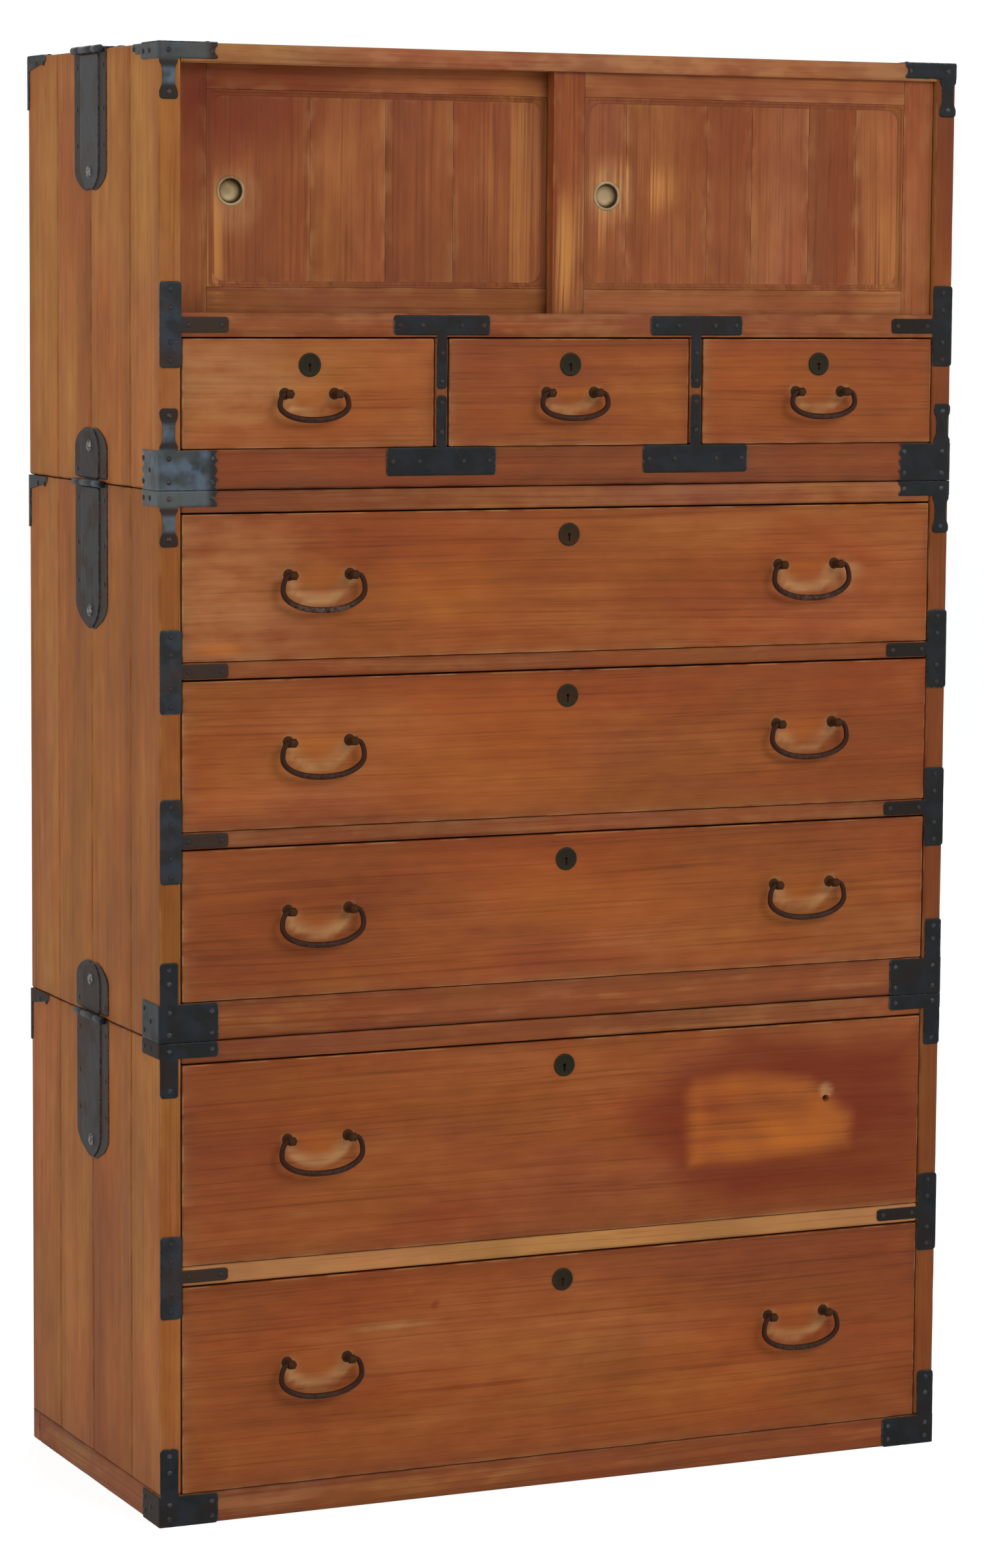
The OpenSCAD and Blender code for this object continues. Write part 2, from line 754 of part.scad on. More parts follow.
// A post: washer on the wood, shank through the front, and an eye for the bail's pin
module post() {
    difference() {
        union() {
            bar_y(shank_r, -bail_reach, front_t + clench);
            bar_y(rose_r, -rose_t, 0);
            translate([0, -bail_reach, 0]) bar_x(eye_r, -eye_w / 2, eye_w / 2);
        }
        translate([0, -bail_reach, 0]) bar_x(bail_pin_r + pin_play, -eye_w, eye_w);
    }
}

// Posts, keyhole plate and lock case of a drawer
module drawer_ironwork(d) {
    lock_top = keyhole_down - head_gap - box_drop;
    color("darkslategray") {
        for (x = post_places(d)) translate([x, front_y, pin_z(d)]) post();
        translate([d[1], front_y, keyhole_z(d)])
            difference() {
                bar_y(plate_r, -plate_t, 0);
                keyhole_cut(-plate_t - over, over);
            }
        translate([d[1], front_y + front_t, keyhole_z(d)])
            board([-lock_w / 2, lock_w / 2], [0, lock_t], [lock_top - lock_h, lock_top]);
    }
}

// A quarter of a ring in the XZ plane, from +X to +Z
module quarter_ring(bend, r) {
    rotate([90, 0, 0]) rotate_extrude(angle = 90) translate([bend, 0]) circle(r);
}

// A bail with its pins on the X axis: each end runs out from its pin, bends down, then in to the bar
module bail(d, x) {
    half = bail_half(d);
    drop = bail_drop(d);
    bend = bail_bend(d);
    post = post_half(d);
    color("darkslategray")
        translate([d[1] + x, front_y - bail_reach, pin_z(d)]) {
            both_sides() {
                bar_x(bail_pin_r, post - eye_w / 2 - pin_end, post + eye_w / 2 + 2 * bail_gap);
                bar_x(bail_r, post + eye_w / 2 + bail_gap, half - elbow_r);
                translate([half - elbow_r, 0, -elbow_r]) quarter_ring(elbow_r, bail_r);
                translate([half, 0, bend - drop]) cylinder(r = bail_r, h = drop - bend - elbow_r);
                translate([half - bend, 0, bend - drop])
                    mirror([0, 0, 1]) quarter_ring(bend, bail_r);
            }
            translate([0, 0, -drop]) bar_x(bail_r, bend - half, half - bend);
        }
}

base_foot_frame();
base_sides();
base_boards();
base_back();
base_irons();
middle_sides();
middle_boards();
middle_back();
middle_irons();
top_sides();
top_boards();
top_dividers();
top_back();
top_irons();
for (side = [0, 1]) {
    door(side);
    door_cup(side);
    standing_leaf(side, base_top);
    standing_leaf(side, middle_top);
    folded_leaf(side);
}
for (d = DRAWERS) {
    drawer_front(d);
    drawer_box(d);
    drawer_ironwork(d);
    for (b = d[7]) {
        bail(d, b[1]);
    }
}
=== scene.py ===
# Looks of the stacking travel chest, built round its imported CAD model. Shapes are made in millimetres in
# the model's own frame (+X right, -Y front, +Z up) and turned into metres when a piece is finished.
import json
import math

import bmesh
import bpy
import numpy as np
from mathutils import Matrix, Vector

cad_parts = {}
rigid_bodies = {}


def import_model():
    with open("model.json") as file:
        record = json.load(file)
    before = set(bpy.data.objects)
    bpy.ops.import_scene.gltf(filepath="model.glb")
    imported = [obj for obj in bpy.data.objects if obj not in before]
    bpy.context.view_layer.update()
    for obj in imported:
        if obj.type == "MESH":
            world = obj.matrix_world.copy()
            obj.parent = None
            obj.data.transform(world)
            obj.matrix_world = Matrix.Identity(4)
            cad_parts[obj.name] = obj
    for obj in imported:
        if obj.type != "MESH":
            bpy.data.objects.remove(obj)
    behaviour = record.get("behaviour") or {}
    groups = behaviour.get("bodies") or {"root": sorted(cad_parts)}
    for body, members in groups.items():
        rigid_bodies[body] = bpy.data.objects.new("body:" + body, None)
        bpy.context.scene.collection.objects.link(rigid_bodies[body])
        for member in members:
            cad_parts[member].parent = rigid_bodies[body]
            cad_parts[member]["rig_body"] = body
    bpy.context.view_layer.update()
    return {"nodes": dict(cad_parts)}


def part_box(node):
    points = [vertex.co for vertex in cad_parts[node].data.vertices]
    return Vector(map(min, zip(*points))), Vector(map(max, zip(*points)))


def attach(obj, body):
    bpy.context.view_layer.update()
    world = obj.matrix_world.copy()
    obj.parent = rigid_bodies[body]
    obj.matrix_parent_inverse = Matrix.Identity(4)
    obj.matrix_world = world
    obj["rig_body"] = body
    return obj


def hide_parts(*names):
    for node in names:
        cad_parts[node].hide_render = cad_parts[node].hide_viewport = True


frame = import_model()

MM = 0.001
X, Y, Z = 0, 1, 2
XZ = [X, Z]


def span(node):
    """Lowest and highest corner of a CAD node."""
    return np.array(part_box(node)) / MM


def solids(node):
    """Lowest and highest corners of the separate solids of a CAD node."""
    mesh = frame["nodes"][node].data
    flat = np.empty(len(mesh.vertices) * 3, np.float32)
    mesh.vertices.foreach_get("co", flat)
    places = flat.reshape(-1, 3) / MM
    same = np.unique(np.round(places * 50).astype(int), axis=0, return_inverse=True)[1].reshape(-1)
    leader = list(range(same.max() + 1))

    def lead(i):
        while leader[i] != i:
            leader[i] = leader[leader[i]]
            i = leader[i]
        return i

    for edge in mesh.edges:
        a, b = (lead(same[v]) for v in edge.vertices)
        leader[a] = b
    group = np.array([lead(i) for i in same])
    boxes = [(places[group == g].min(0), places[group == g].max(0)) for g in np.unique(group)]
    return sorted(boxes, key=lambda box: tuple(np.round(box[0][[Z, Y, X]], 1)))


# Wood: rounding of the edges, seams between planks, wear, and the pitch of the points with the marks
EDGE_R = 1.4
CASE_EDGE_R = 2.8
MOULD_EDGE = EDGE_R * 0.6
BACK_EDGE_R = 0.8
BOX_EDGE_R = 1.0
BOTTOM_EDGE_R = 0.6
FRAME_EDGE_R = 0.5
PANEL_EDGE_R = 0.3
SIDE_SEAM = 0.12
BACK_SEAM = 0.5
BOTTOM_SEAM = 0.3
PANEL_SEAM = 0.1
EDGE_WEAR = 0.5
FACE_WEAR = 0.25
HOLD = 0.8
FRONT_STEP = 7.0
BOARD_STEP = 24.0
FRAME_STEP = 12.0
PANEL_STEP = 10.0
DIRT_REACH = 9.0

# Iron: thickness of the sheet that shows, its bevel and corners, and its nails
SHEET_T = 1.2
STRIP_T = 1.4
BEVEL = 0.4
CORNER_R = 4.0
PLATE_STEP = 4.0
PLATE_SWAY = 0.25
PLATE_DENT = 0.15
NAIL_R = 3.0
NAIL_H = 1.2
FLAT_NAIL_H = 0.35
STRAP_NAIL_H = 0.9
NAIL_IN = 8.0
FAR_NAIL_IN = 9.0

# Corner irons, and the irons at the ends of the rails and on the uprights
FOOT_IRON_SET = 1.0
UPPER_ARM_H = 17.0
TALL_ARM_H = 25.0
TALL_LEG_H = 45.0
CORNER_LEG_W = 21.0
WRAP_FRONT = 54.0
WRAP_TIP_H = 11.0
BACK_EDGE_W = 7.0
LOBE_H = 12.0
LOBE_DEPTH = 5.0
WAIST = 0.3
TEE_LEG_W = 25.0
TEE_ARM_H = {"base": 14.0, "middle": 16.0, "top": 17.0}
SHELF_BAR_H = 22.0
FOOT_BAR_H = 31.0
FACING_HALF = 6.0

# Side straps, their hinges and studs
STRAP_HALF = 52.0
STRAP_SHORT = {"base": 0.0, "middle": 0.0, "top": 9.0}
STRIP_HALF = 29.0
STRIP_IN = 1.5
TAPER_L = 30.0
TIP_HALF = 17.0
BLUNT_L = 24.0
BLUNT_HALF = 27.0
TIP_NOTCH = 1.5
TIP_ROUND = 3.0
KNUCKLE_R = 4.0
KNUCKLE_W = 40.0
OUTER_KNUCKLE_W = 24.0
KNUCKLE_GAP = 0.4
KNUCKLE_CLEAR = 0.6
SHOULDER_GAP = 1.2
HINGE_PIN_R = 1.6
HINGE_OUT = 5.0
LEAF_GAP = 0.5
PIN_PLAY = 0.06
STUD_R = 7.0
STUD_H = 3.0
STUD_AT = 21.0

# Bails, posts and keyholes
PIN_R = 2.2
EYE_R = 4.8
EYE_W = 8.0
SHANK_R = 2.4
ROSE_R = 6.5
ROSE_T = 1.2
PIN_END = 1.5
BAIL_GAP = 0.4
KEY_R = 1.9
KEY_SLOT_HALF = 0.9
KEY_SLOT_H = 7.0
LOST_POST = "base_upper"
TORN_R = 4.4

# Doors and their grooves
MOULD_W = 6.5
MOULD_R = 15.0
MOULD_ARC = 7
MOULD_SPLIT = 16
CUP_RIM = 2.5
DOOR_PLAY = 0.5
LOWER_GROOVE = 3.0
UPPER_GROOVE = 8.0

# Places of the model that several pieces need
FRONT_Y = span("base_sides")[0][Y]
DIVIDER_MIDDLE = span("top_dividers")[:, Z].mean()

# Where the cases stand on each other, and the painted shade along the seams there
JOINTS = [solids(case + "_boards")[0][0][Z] for case in ("middle", "top")]
SEAM_H = 1.2
SEAM_SHADE = 2.5

# Kinds of marks on the wood, by their place in the marks attribute: rubs, which also carry painted
# highlight, stains, which also carry painted shade, and bare wood
RUB_AND_HIGHLIGHT, STAIN_AND_SHADE, BARE = 0, 1, 2


def wobble(points, length, seed):
    """Smooth unevenness from -1 to 1 with waves of about the given length."""
    draw = np.random.default_rng(seed)
    total = np.zeros(len(points))
    for _ in range(5):
        way = draw.normal(size=points.shape[1])
        way /= np.linalg.norm(way)
        pace = 2 * math.pi / (length * draw.uniform(0.6, 1.7))
        total += np.sin(points @ way * pace + draw.uniform(0, 2 * math.pi))
    return total / 5


def smooth_step(value, start, end):
    t = np.clip((value - start) / (end - start), 0, 1)
    return t * t * (3 - 2 * t)


def end_of(lo, hi, axis, sign):
    """The end of a box along an axis, on the side of the sign."""
    return (hi if sign > 0 else lo)[axis]


def new_object(name, points, faces):
    mesh = bpy.data.meshes.new(name)
    mesh.from_pydata(np.asarray(points).tolist(), [], [[int(i) for i in face] for face in faces])
    obj = bpy.data.objects.new(name, mesh)
    bpy.context.scene.collection.objects.link(obj)
    return obj


class Shell:
    """The points, faces and point values of the piece that stands for a CAD node."""

    def __init__(self, node):
        self.node = node
        self.parts = []
        self.faces = []
        self.count = 0

    def add(self, points, faces, grain, marks, wear):
        self.parts.append((points, grain, np.clip(marks, 0, 1), wear))
        self.faces += [[i + self.count for i in face] for face in faces]
        self.count += len(points)

    def metal(self, points, faces, edge=0.0, tone=0.0, pale=0.0):
        """Adds a metal form, whose values are its place, how worn it is (on the bails, painted highlight),
        how brown and how pale.
        """
        wear = np.zeros((len(points), 3))
        for kind, value in enumerate((edge, tone, pale)):
            wear[:, kind] = value
        self.add(points, faces, points * MM, np.zeros((len(points), 3)), wear)

    def finish(self, smooth_angle=50):
        """Makes the piece, which rides on the body of its node."""
        points, *layers = (np.concatenate(part) for part in zip(*self.parts))
        obj = new_object("look_" + self.node, points * MM, self.faces)
        mesh = obj.data
        for label, values in zip(("grain", "marks", "wear"), layers):
            layer = mesh.attributes.new(label, "FLOAT_VECTOR", "POINT")
            layer.data.foreach_set("vector", values.astype(np.float32).ravel())
        work = bmesh.new()
        work.from_mesh(mesh)
        bmesh.ops.recalc_face_normals(work, faces=work.faces)
        work.to_mesh(mesh)
        work.free()
        mesh.polygons.foreach_set("use_smooth", [True] * len(mesh.polygons))
        mesh.set_sharp_from_angle(angle=math.radians(smooth_angle))
        slot = next(slot for ending, slot in SLOTS if self.node.endswith(ending))
        mesh.materials.append(LOOKS[slot])
        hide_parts(self.node)
        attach(obj, frame["nodes"][self.node]["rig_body"])


# Forms

def loft(rings, closed=False):
    """A form through rings of equally many points, its ends filled or joined to each other."""
    n = len(rings[0])
    points = np.concatenate(rings)
    faces = [] if closed else [range(n), range(len(points) - n, len(points))]
    for a in range(0, len(points) - (0 if closed else n), n):
        b = (a + n) % len(points)
        faces += [(a + i, a + (i + 1) % n, b + (i + 1) % n, b + i) for i in range(n)]
    return points, faces


def circle(count):
    """Cosines and sines of points round a circle."""
    angles = 2 * math.pi * np.arange(count) / count
    return np.cos(angles), np.sin(angles)


def turned(profile, centre, axis, count, closed=False):
    """A form turned round an axis, from a profile of radius and place along the axis. A closed profile
    makes a ring."""
    others = [a for a in (X, Y, Z) if a != axis]
    rings = []
    for radius, height in profile:
        ring = np.zeros((count, 3)) + centre
        ring[:, others] += radius * np.stack(circle(count), axis=1)
        ring[:, axis] += height
        rings.append(ring)
    return loft(rings, closed)


def bevelled(bore, radius, start, end, ease):
    """The profile of a ring whose outer edges are eased."""
    return [(bore, start), (radius - ease, start), (radius, start + ease), (radius, end - ease),
            (radius - ease, end), (bore, end)]


def tube(path, radii, count=16):
    """A round bar along a path in a plane of constant y."""
    ways = np.gradient(path, axis=0)
    ways /= np.linalg.norm(ways, axis=1, keepdims=True)
    side = np.array([0.0, 1.0, 0.0])
    cosines, sines = circle(count)
    return loft([place + radius * (np.outer(cosines, side) + np.outer(sines, np.cross(way, side)))
                 for place, way, radius in zip(path, ways, radii)])


def rows_between(lo, hi, radius, step):
    """Lattice lines from one face to the other: rounded edge, held edge and even steps."""
    start = lo + radius + HOLD
    end = hi - radius - HOLD
    if end - start < HOLD:
        return np.array([lo, lo + radius, hi - radius, hi])
    count = max(1, math.ceil((end - start) / step))
    return np.concatenate([[lo, lo + radius], np.linspace(start, end, count + 1), [hi - radius, hi]])


def grid_shell(rows):
    """The closed surface of a lattice of lines along X, Y and Z."""
    number = np.full([len(r) for r in rows], -1)
    surface = np.zeros(number.shape, bool)
    surface[[0, -1]] = True
    surface[:, [0, -1]] = True
    surface[:, :, [0, -1]] = True
    number[surface] = np.arange(surface.sum())
    where = np.argwhere(surface)
    points = np.stack([rows[a][where[:, a]] for a in (X, Y, Z)], axis=1)
    faces = []
    for axis in (X, Y, Z):
        for end in (0, -1):
            sheet = np.take(number, end, axis=axis)
            quads = [sheet[:-1, :-1], sheet[1:, :-1], sheet[1:, 1:], sheet[:-1, 1:]]
            quads = np.stack(quads, axis=-1).reshape(-1, 4)
            faces.append(quads[:, ::-1] if (end == 0) != (axis == Y) else quads)
    return points, np.concatenate(faces)


def board_form(lo, hi, step=BOARD_STEP, radius=EDGE_R, wear=1.0, seed=0):
    """A board with rounded, slightly worn edges."""
    lo = np.asarray(lo, float)
    hi = np.asarray(hi, float)
    radius = min(radius, 0.3 * float((hi - lo).min()))
    points, faces = grid_shell([rows_between(lo[a], hi[a], radius, step) for a in (X, Y, Z)])
    core = np.clip(points, lo + radius, hi - radius)
    away = points - core
    out = away / np.linalg.norm(away, axis=1, keepdims=True)
    at_edge = (np.abs(away) > 0.01).sum(1) > 1
    uneven = 0.5 + 0.5 * wobble(points, 60, seed)
    bumps = 0.5 + 0.5 * wobble(points, 190, seed + 1)
    depth = np.where(at_edge, EDGE_WEAR * uneven * uneven, FACE_WEAR * bumps) * wear
    return core + out * radius - out * depth[:, None], faces


def board_values(points, lo, hi, along, across, seed, tone=0.0):
    """Grain place, blank marks and wear of the points of a board. Wear holds how near its edge a point
    is, the tone of the board, and how much dirt it has gathered."""
    draw = np.random.default_rng(seed + 900)
    grain = points[:, [along, across, 3 - along - across]] * MM + draw.uniform(-4, 4, 3)
    inside = np.sort(np.minimum(points - lo, hi - points), axis=1)[:, 1]
    wear = np.zeros((len(points), 3))
    wear[:, 0] = np.clip(1 - inside / (EDGE_R + 0.4), 0, 1)
    wear[:, 1] = tone
    wear[:, 2] = np.exp(-np.clip(inside, 0, None) / DIRT_REACH)
    return grain, np.zeros((len(points), 3)), wear


def add_board(shell, lo, hi, along, across, seed, tone=0.0, step=BOARD_STEP, cutters=(), paint=None,
              dirt=1.0, **form):
    """Adds a board, with holes cut and marks painted where asked. dirt is how much of it its edges hold."""
    points, faces = board_form(lo, hi, step, seed=seed, **form)
    if cutters:
        points, faces = cut(points, faces, cutters)
    grain, marks, wear = board_values(points, lo, hi, along, across, seed, tone)
    wear[:, 2] *= dirt
    # Painted shade along the seams where the cases stand on each other
    for joint in JOINTS:
        wear[np.abs(points[:, Z] - joint) < SEAM_H, 2] = SEAM_SHADE
    if paint is not None:
        paint(marks, points, lo, hi)
    shell.add(points, faces, grain, marks, wear)


def cut(points, faces, cutters):
    """The closed form with other closed forms cut away."""
    target = new_object("cut_target", points, faces)
    tools = []
    for form in cutters:
        tools.append(new_object("cut_tool", *form))
        modifier = target.modifiers.new("cut", "BOOLEAN")
        modifier.operation = "DIFFERENCE"
        modifier.solver = "EXACT"
        modifier.object = tools[-1]
    done = target.evaluated_get(bpy.context.evaluated_depsgraph_get())
    mesh = done.to_mesh()
    flat = np.empty(len(mesh.vertices) * 3)
    mesh.vertices.foreach_get("co", flat)
    new_faces = [tuple(polygon.vertices) for polygon in mesh.polygons]
    done.to_mesh_clear()
    for obj in [target] + tools:
        old = obj.data
        bpy.data.objects.remove(obj)
        bpy.data.meshes.remove(old)
    return flat.reshape(-1, 3), new_faces


def divided(outline, parts):
    """A closed outline whose side i is cut into parts(i, its length) pieces."""
    outline = np.asarray(outline, float)
    result = []
    for i, (start, end) in enumerate(zip(outline, np.roll(outline, -1, axis=0))):
        count = parts(i, np.linalg.norm(end - start))
        result += [start + (end - start) * k / count for k in range(count)]
    return np.array(result)


def add_moulded_board(shell, outline, x0, x1, seed, tone):
    """Adds a board along X whose cross-section is the given outline of y and z, with its corners off."""
    ring = []
    for i, corner in enumerate(outline):
        for other in (outline[i - 1], outline[(i + 1) % len(outline)]):
            way = np.subtract(other, corner)
            length = np.linalg.norm(way)
            ring.append(corner + way / length * min(MOULD_EDGE, 0.3 * length))
    ring = divided(ring, lambda i, length: max(1, math.ceil(length / BOARD_STEP)))
    rows = rows_between(x0, x1, EDGE_R * 0.5, BOARD_STEP)
    points, faces = loft([np.insert(ring, X, x, axis=1) for x in rows])
    shell.add(points, faces, *board_values(points, points.min(0), points.max(0), X, Z, seed, tone))


def plate_rows(edges):
    """Lattice lines of a plate: its edges, the lines of bevel and corner, and even steps."""
    lines = {round(edge + side * shift, 3) for edge in edges for side in (-1, 1)
             for shift in (0, BEVEL, CORNER_R * 0.5, CORNER_R)}
    lines = sorted(v for v in lines if min(edges) <= v <= max(edges))
    result = [lines[0]]
    for v in lines[1:]:
        if v - result[-1] < BEVEL * 0.6 and v not in edges:
            continue
        count = max(1, math.ceil((v - result[-1]) / PLATE_STEP))
        result += list(np.linspace(result[-1], v, count + 1)[1:])
    return np.array(result)


def add_plate(shell, rects, place, nails, shape=None, seed=0, look=(0.0, 0.0), thick=SHEET_T, base=0.0,
              nail_h=NAIL_H):
    """Adds a sheet-iron plate made of rectangles (u0, u1, v0, v1), with a bevelled outline, rounded
    corners, a slightly hammered face and nails. shape bends its outline in its own plane, place puts it
    on the wood, and look is its tone and pallor, or the function of u and v that gives them."""
    us = plate_rows([r[0] for r in rects] + [r[1] for r in rects])
    vs = plate_rows([r[2] for r in rects] + [r[3] for r in rects])
    mid_u, mid_v = ((lines[1:] + lines[:-1]) / 2 for lines in (us, vs))
    full = np.zeros((len(us) + 1, len(vs) + 1), bool)
    for u0, u1, v0, v1 in rects:
        full[1:-1, 1:-1] |= np.outer((mid_u > u0) & (mid_u < u1), (mid_v > v0) & (mid_v < v1))
    around = full[:-1, :-1].astype(int) + full[1:, :-1] + full[:-1, 1:] + full[1:, 1:]
    used = np.argwhere(around > 0)
    n = len(used)
    number = np.full(around.shape, -1)
    number[tuple(used.T)] = np.arange(n)
    inner = around[tuple(used.T)] == 4
    flat = np.stack([us[used[:, 0]], vs[used[:, 1]]], axis=1)
    bent = flat.copy()
    for i, j in np.argwhere(around == 1):
        way = 2.0 * np.argwhere(full[i:i + 2, j:j + 2])[0] - 1
        middle = (us[i], vs[j]) + way * CORNER_R
        off = (middle - flat) * way
        inside = (off > 1e-6).all(1) & (off <= CORNER_R + 1e-6).all(1)
        scale = off.max(1) / np.maximum(np.linalg.norm(off, axis=1), 1e-9)
        bent[inside] = middle + (flat[inside] - middle) * scale[inside, None]
    sway = PLATE_SWAY * np.stack([wobble(bent, 14, seed), wobble(bent, 14, seed + 1)], axis=1)
    bent = np.clip(bent + sway, [us[0], vs[0]], [us[-1], vs[-1]])
    if shape is not None:
        bent = np.stack(shape(*bent.T), axis=1)
    dents = PLATE_DENT * wobble(bent, 16, seed + 2)
    top = base + np.where(inner, thick + np.minimum(dents, 0), thick - BEVEL)
    faces = []
    for i, j in np.argwhere(full[1:-1, 1:-1]):
        a, b, c, d = number[i, j], number[i + 1, j], number[i + 1, j + 1], number[i, j + 1]
        faces += [(a, b, c, d), (n + d, n + c, n + b, n + a)]
        beyond = (full[i + 1, j], full[i + 2, j + 1], full[i + 1, j + 2], full[i, j + 1])
        sides = zip((a, b, c, d), (b, c, d, a), beyond)
        faces += [(p, n + p, n + q, q) for p, q, filled in sides if not filled]
    u, v = np.tile(bent, (2, 1)).T
    tone, pale = look(u, v) if callable(look) else look
    shell.metal(place(u, v, np.append(top, np.full(n, base))), faces, np.tile(~inner, 2), tone, pale)
    for u, v in nails:
        shell.metal(*nail(u, v, place, base + thick, nail_h), edge=0.2, tone=0.2)


def nail(u, v, place, base, height):
    """A nail's domed head on a plate."""
    cosines, sines = NAIL_R * np.array(circle(10))
    rings = ((1.0, -0.2), (1.0, 0.15), (0.82, 0.6), (0.5, 0.9), (0.15, 1.0))
    return loft([place(u + size * cosines, v + size * sines, np.full(10, base + rise * height))
                 for size, rise in rings])


# Materials

# The material of each slot
LOOKS = {}


def rgb(red, green, blue):
    """A colour written as it shows on a screen, from 0 to 255."""
    shares = (c / 255 for c in (red, green, blue))
    return (*(c / 12.92 if c <= 0.04045 else ((c + 0.055) / 1.055) ** 2.4 for c in shares), 1.0)


class Graph:
    """The nodes of a material or of the world."""

    def __init__(self, owner):
        owner.use_nodes = True
        self.tree = owner.node_tree
        self.shader = self.tree.nodes.get("Principled BSDF")

    def feed(self, node, inputs):
        """Sets or links the inputs of a node."""
        for key, value in inputs.items():
            if isinstance(value, bpy.types.NodeSocket):
                self.tree.links.new(value, node.inputs[key])
            else:
                node.inputs[key].default_value = value

    def node(self, kind, inputs, **settings):
        made = self.tree.nodes.new("ShaderNode" + kind)
        for key, value in settings.items():
            setattr(made, key, value)
        self.feed(made, inputs)
        return made

    def values(self, name):
        return self.node("Attribute", {}, attribute_name=name).outputs["Vector"]

    def parts(self, vector):
        return self.node("SeparateXYZ", {0: vector}).outputs.values()

    def vector(self, operation, a, b):
        return self.node("VectorMath", {0: a, 1: b}, operation=operation).outputs[0]

    def math(self, operation, a, b, c=0.0, clamp=False):
        return self.node("Math", {0: a, 1: b, 2: c}, operation=operation, use_clamp=clamp).outputs[0]

    def times(self, a, b, clamp=False):
        return self.math("MULTIPLY", a, b, clamp=clamp)

    def noise(self, vector, scales, detail, output="Fac"):
        stretched = self.vector("MULTIPLY", vector, scales)
        return self.node("TexNoise", {"Vector": stretched, "Scale": 1.0, "Detail": detail}).outputs[output]

    def blend(self, *layers):
        """One half plus each layer's distance from one half, times its weight."""
        total = 0.5
        for socket, weight in layers:
            total = self.math("ADD", total, self.math("MULTIPLY_ADD", socket, weight, -0.5 * weight))
        return total

    def remap(self, value, start, end, low=0.0, high=1.0):
        inputs = {"Value": value, "From Min": start, "From Max": end, "To Min": low, "To Max": high}
        return self.node("MapRange", inputs, interpolation_type="SMOOTHSTEP").outputs[0]

    def mix(self, factor, a, b, kind="MIX"):
        inputs = {"Factor": factor, "A": a, "B": b}
        return self.node("Mix", inputs, data_type="RGBA", blend_type=kind).outputs["Result"]

    def ramp(self, value, stops):
        made = self.node("ValToRGB", {0: value})
        while len(made.color_ramp.elements) < len(stops):
            made.color_ramp.elements.new(0.5)
        for element, stop in zip(made.color_ramp.elements, stops):
            element.position, element.color = stop
        return made.outputs[0]

    def bump(self, height, strength, distance):
        inputs = {"Height": height, "Strength": strength, "Distance": distance}
        return self.node("Bump", inputs).outputs[0]


RED_TINT = (1.02, 0.86, 0.84, 1.0)
HAZE_TINT = (0.93, 0.9, 1.2, 1.0)
OLIVE_TINT = (0.97, 1.06, 0.86, 1.0)
# Rubbed wood, also used as painted highlight
RUBBED_AND_HIGHLIT = rgb(186, 140, 92)
# Stain, also used as painted shade
STAINED_AND_SHADED = rgb(99, 32, 12)
# Dirt near the edges, also used as painted shade at the seams between the cases
GRIME_AND_SHADE = rgb(70, 30, 15)
SLATE = rgb(84, 103, 126)
PALE_IRON = rgb(88, 93, 90)
DARK_IRON = rgb(10, 11, 11)


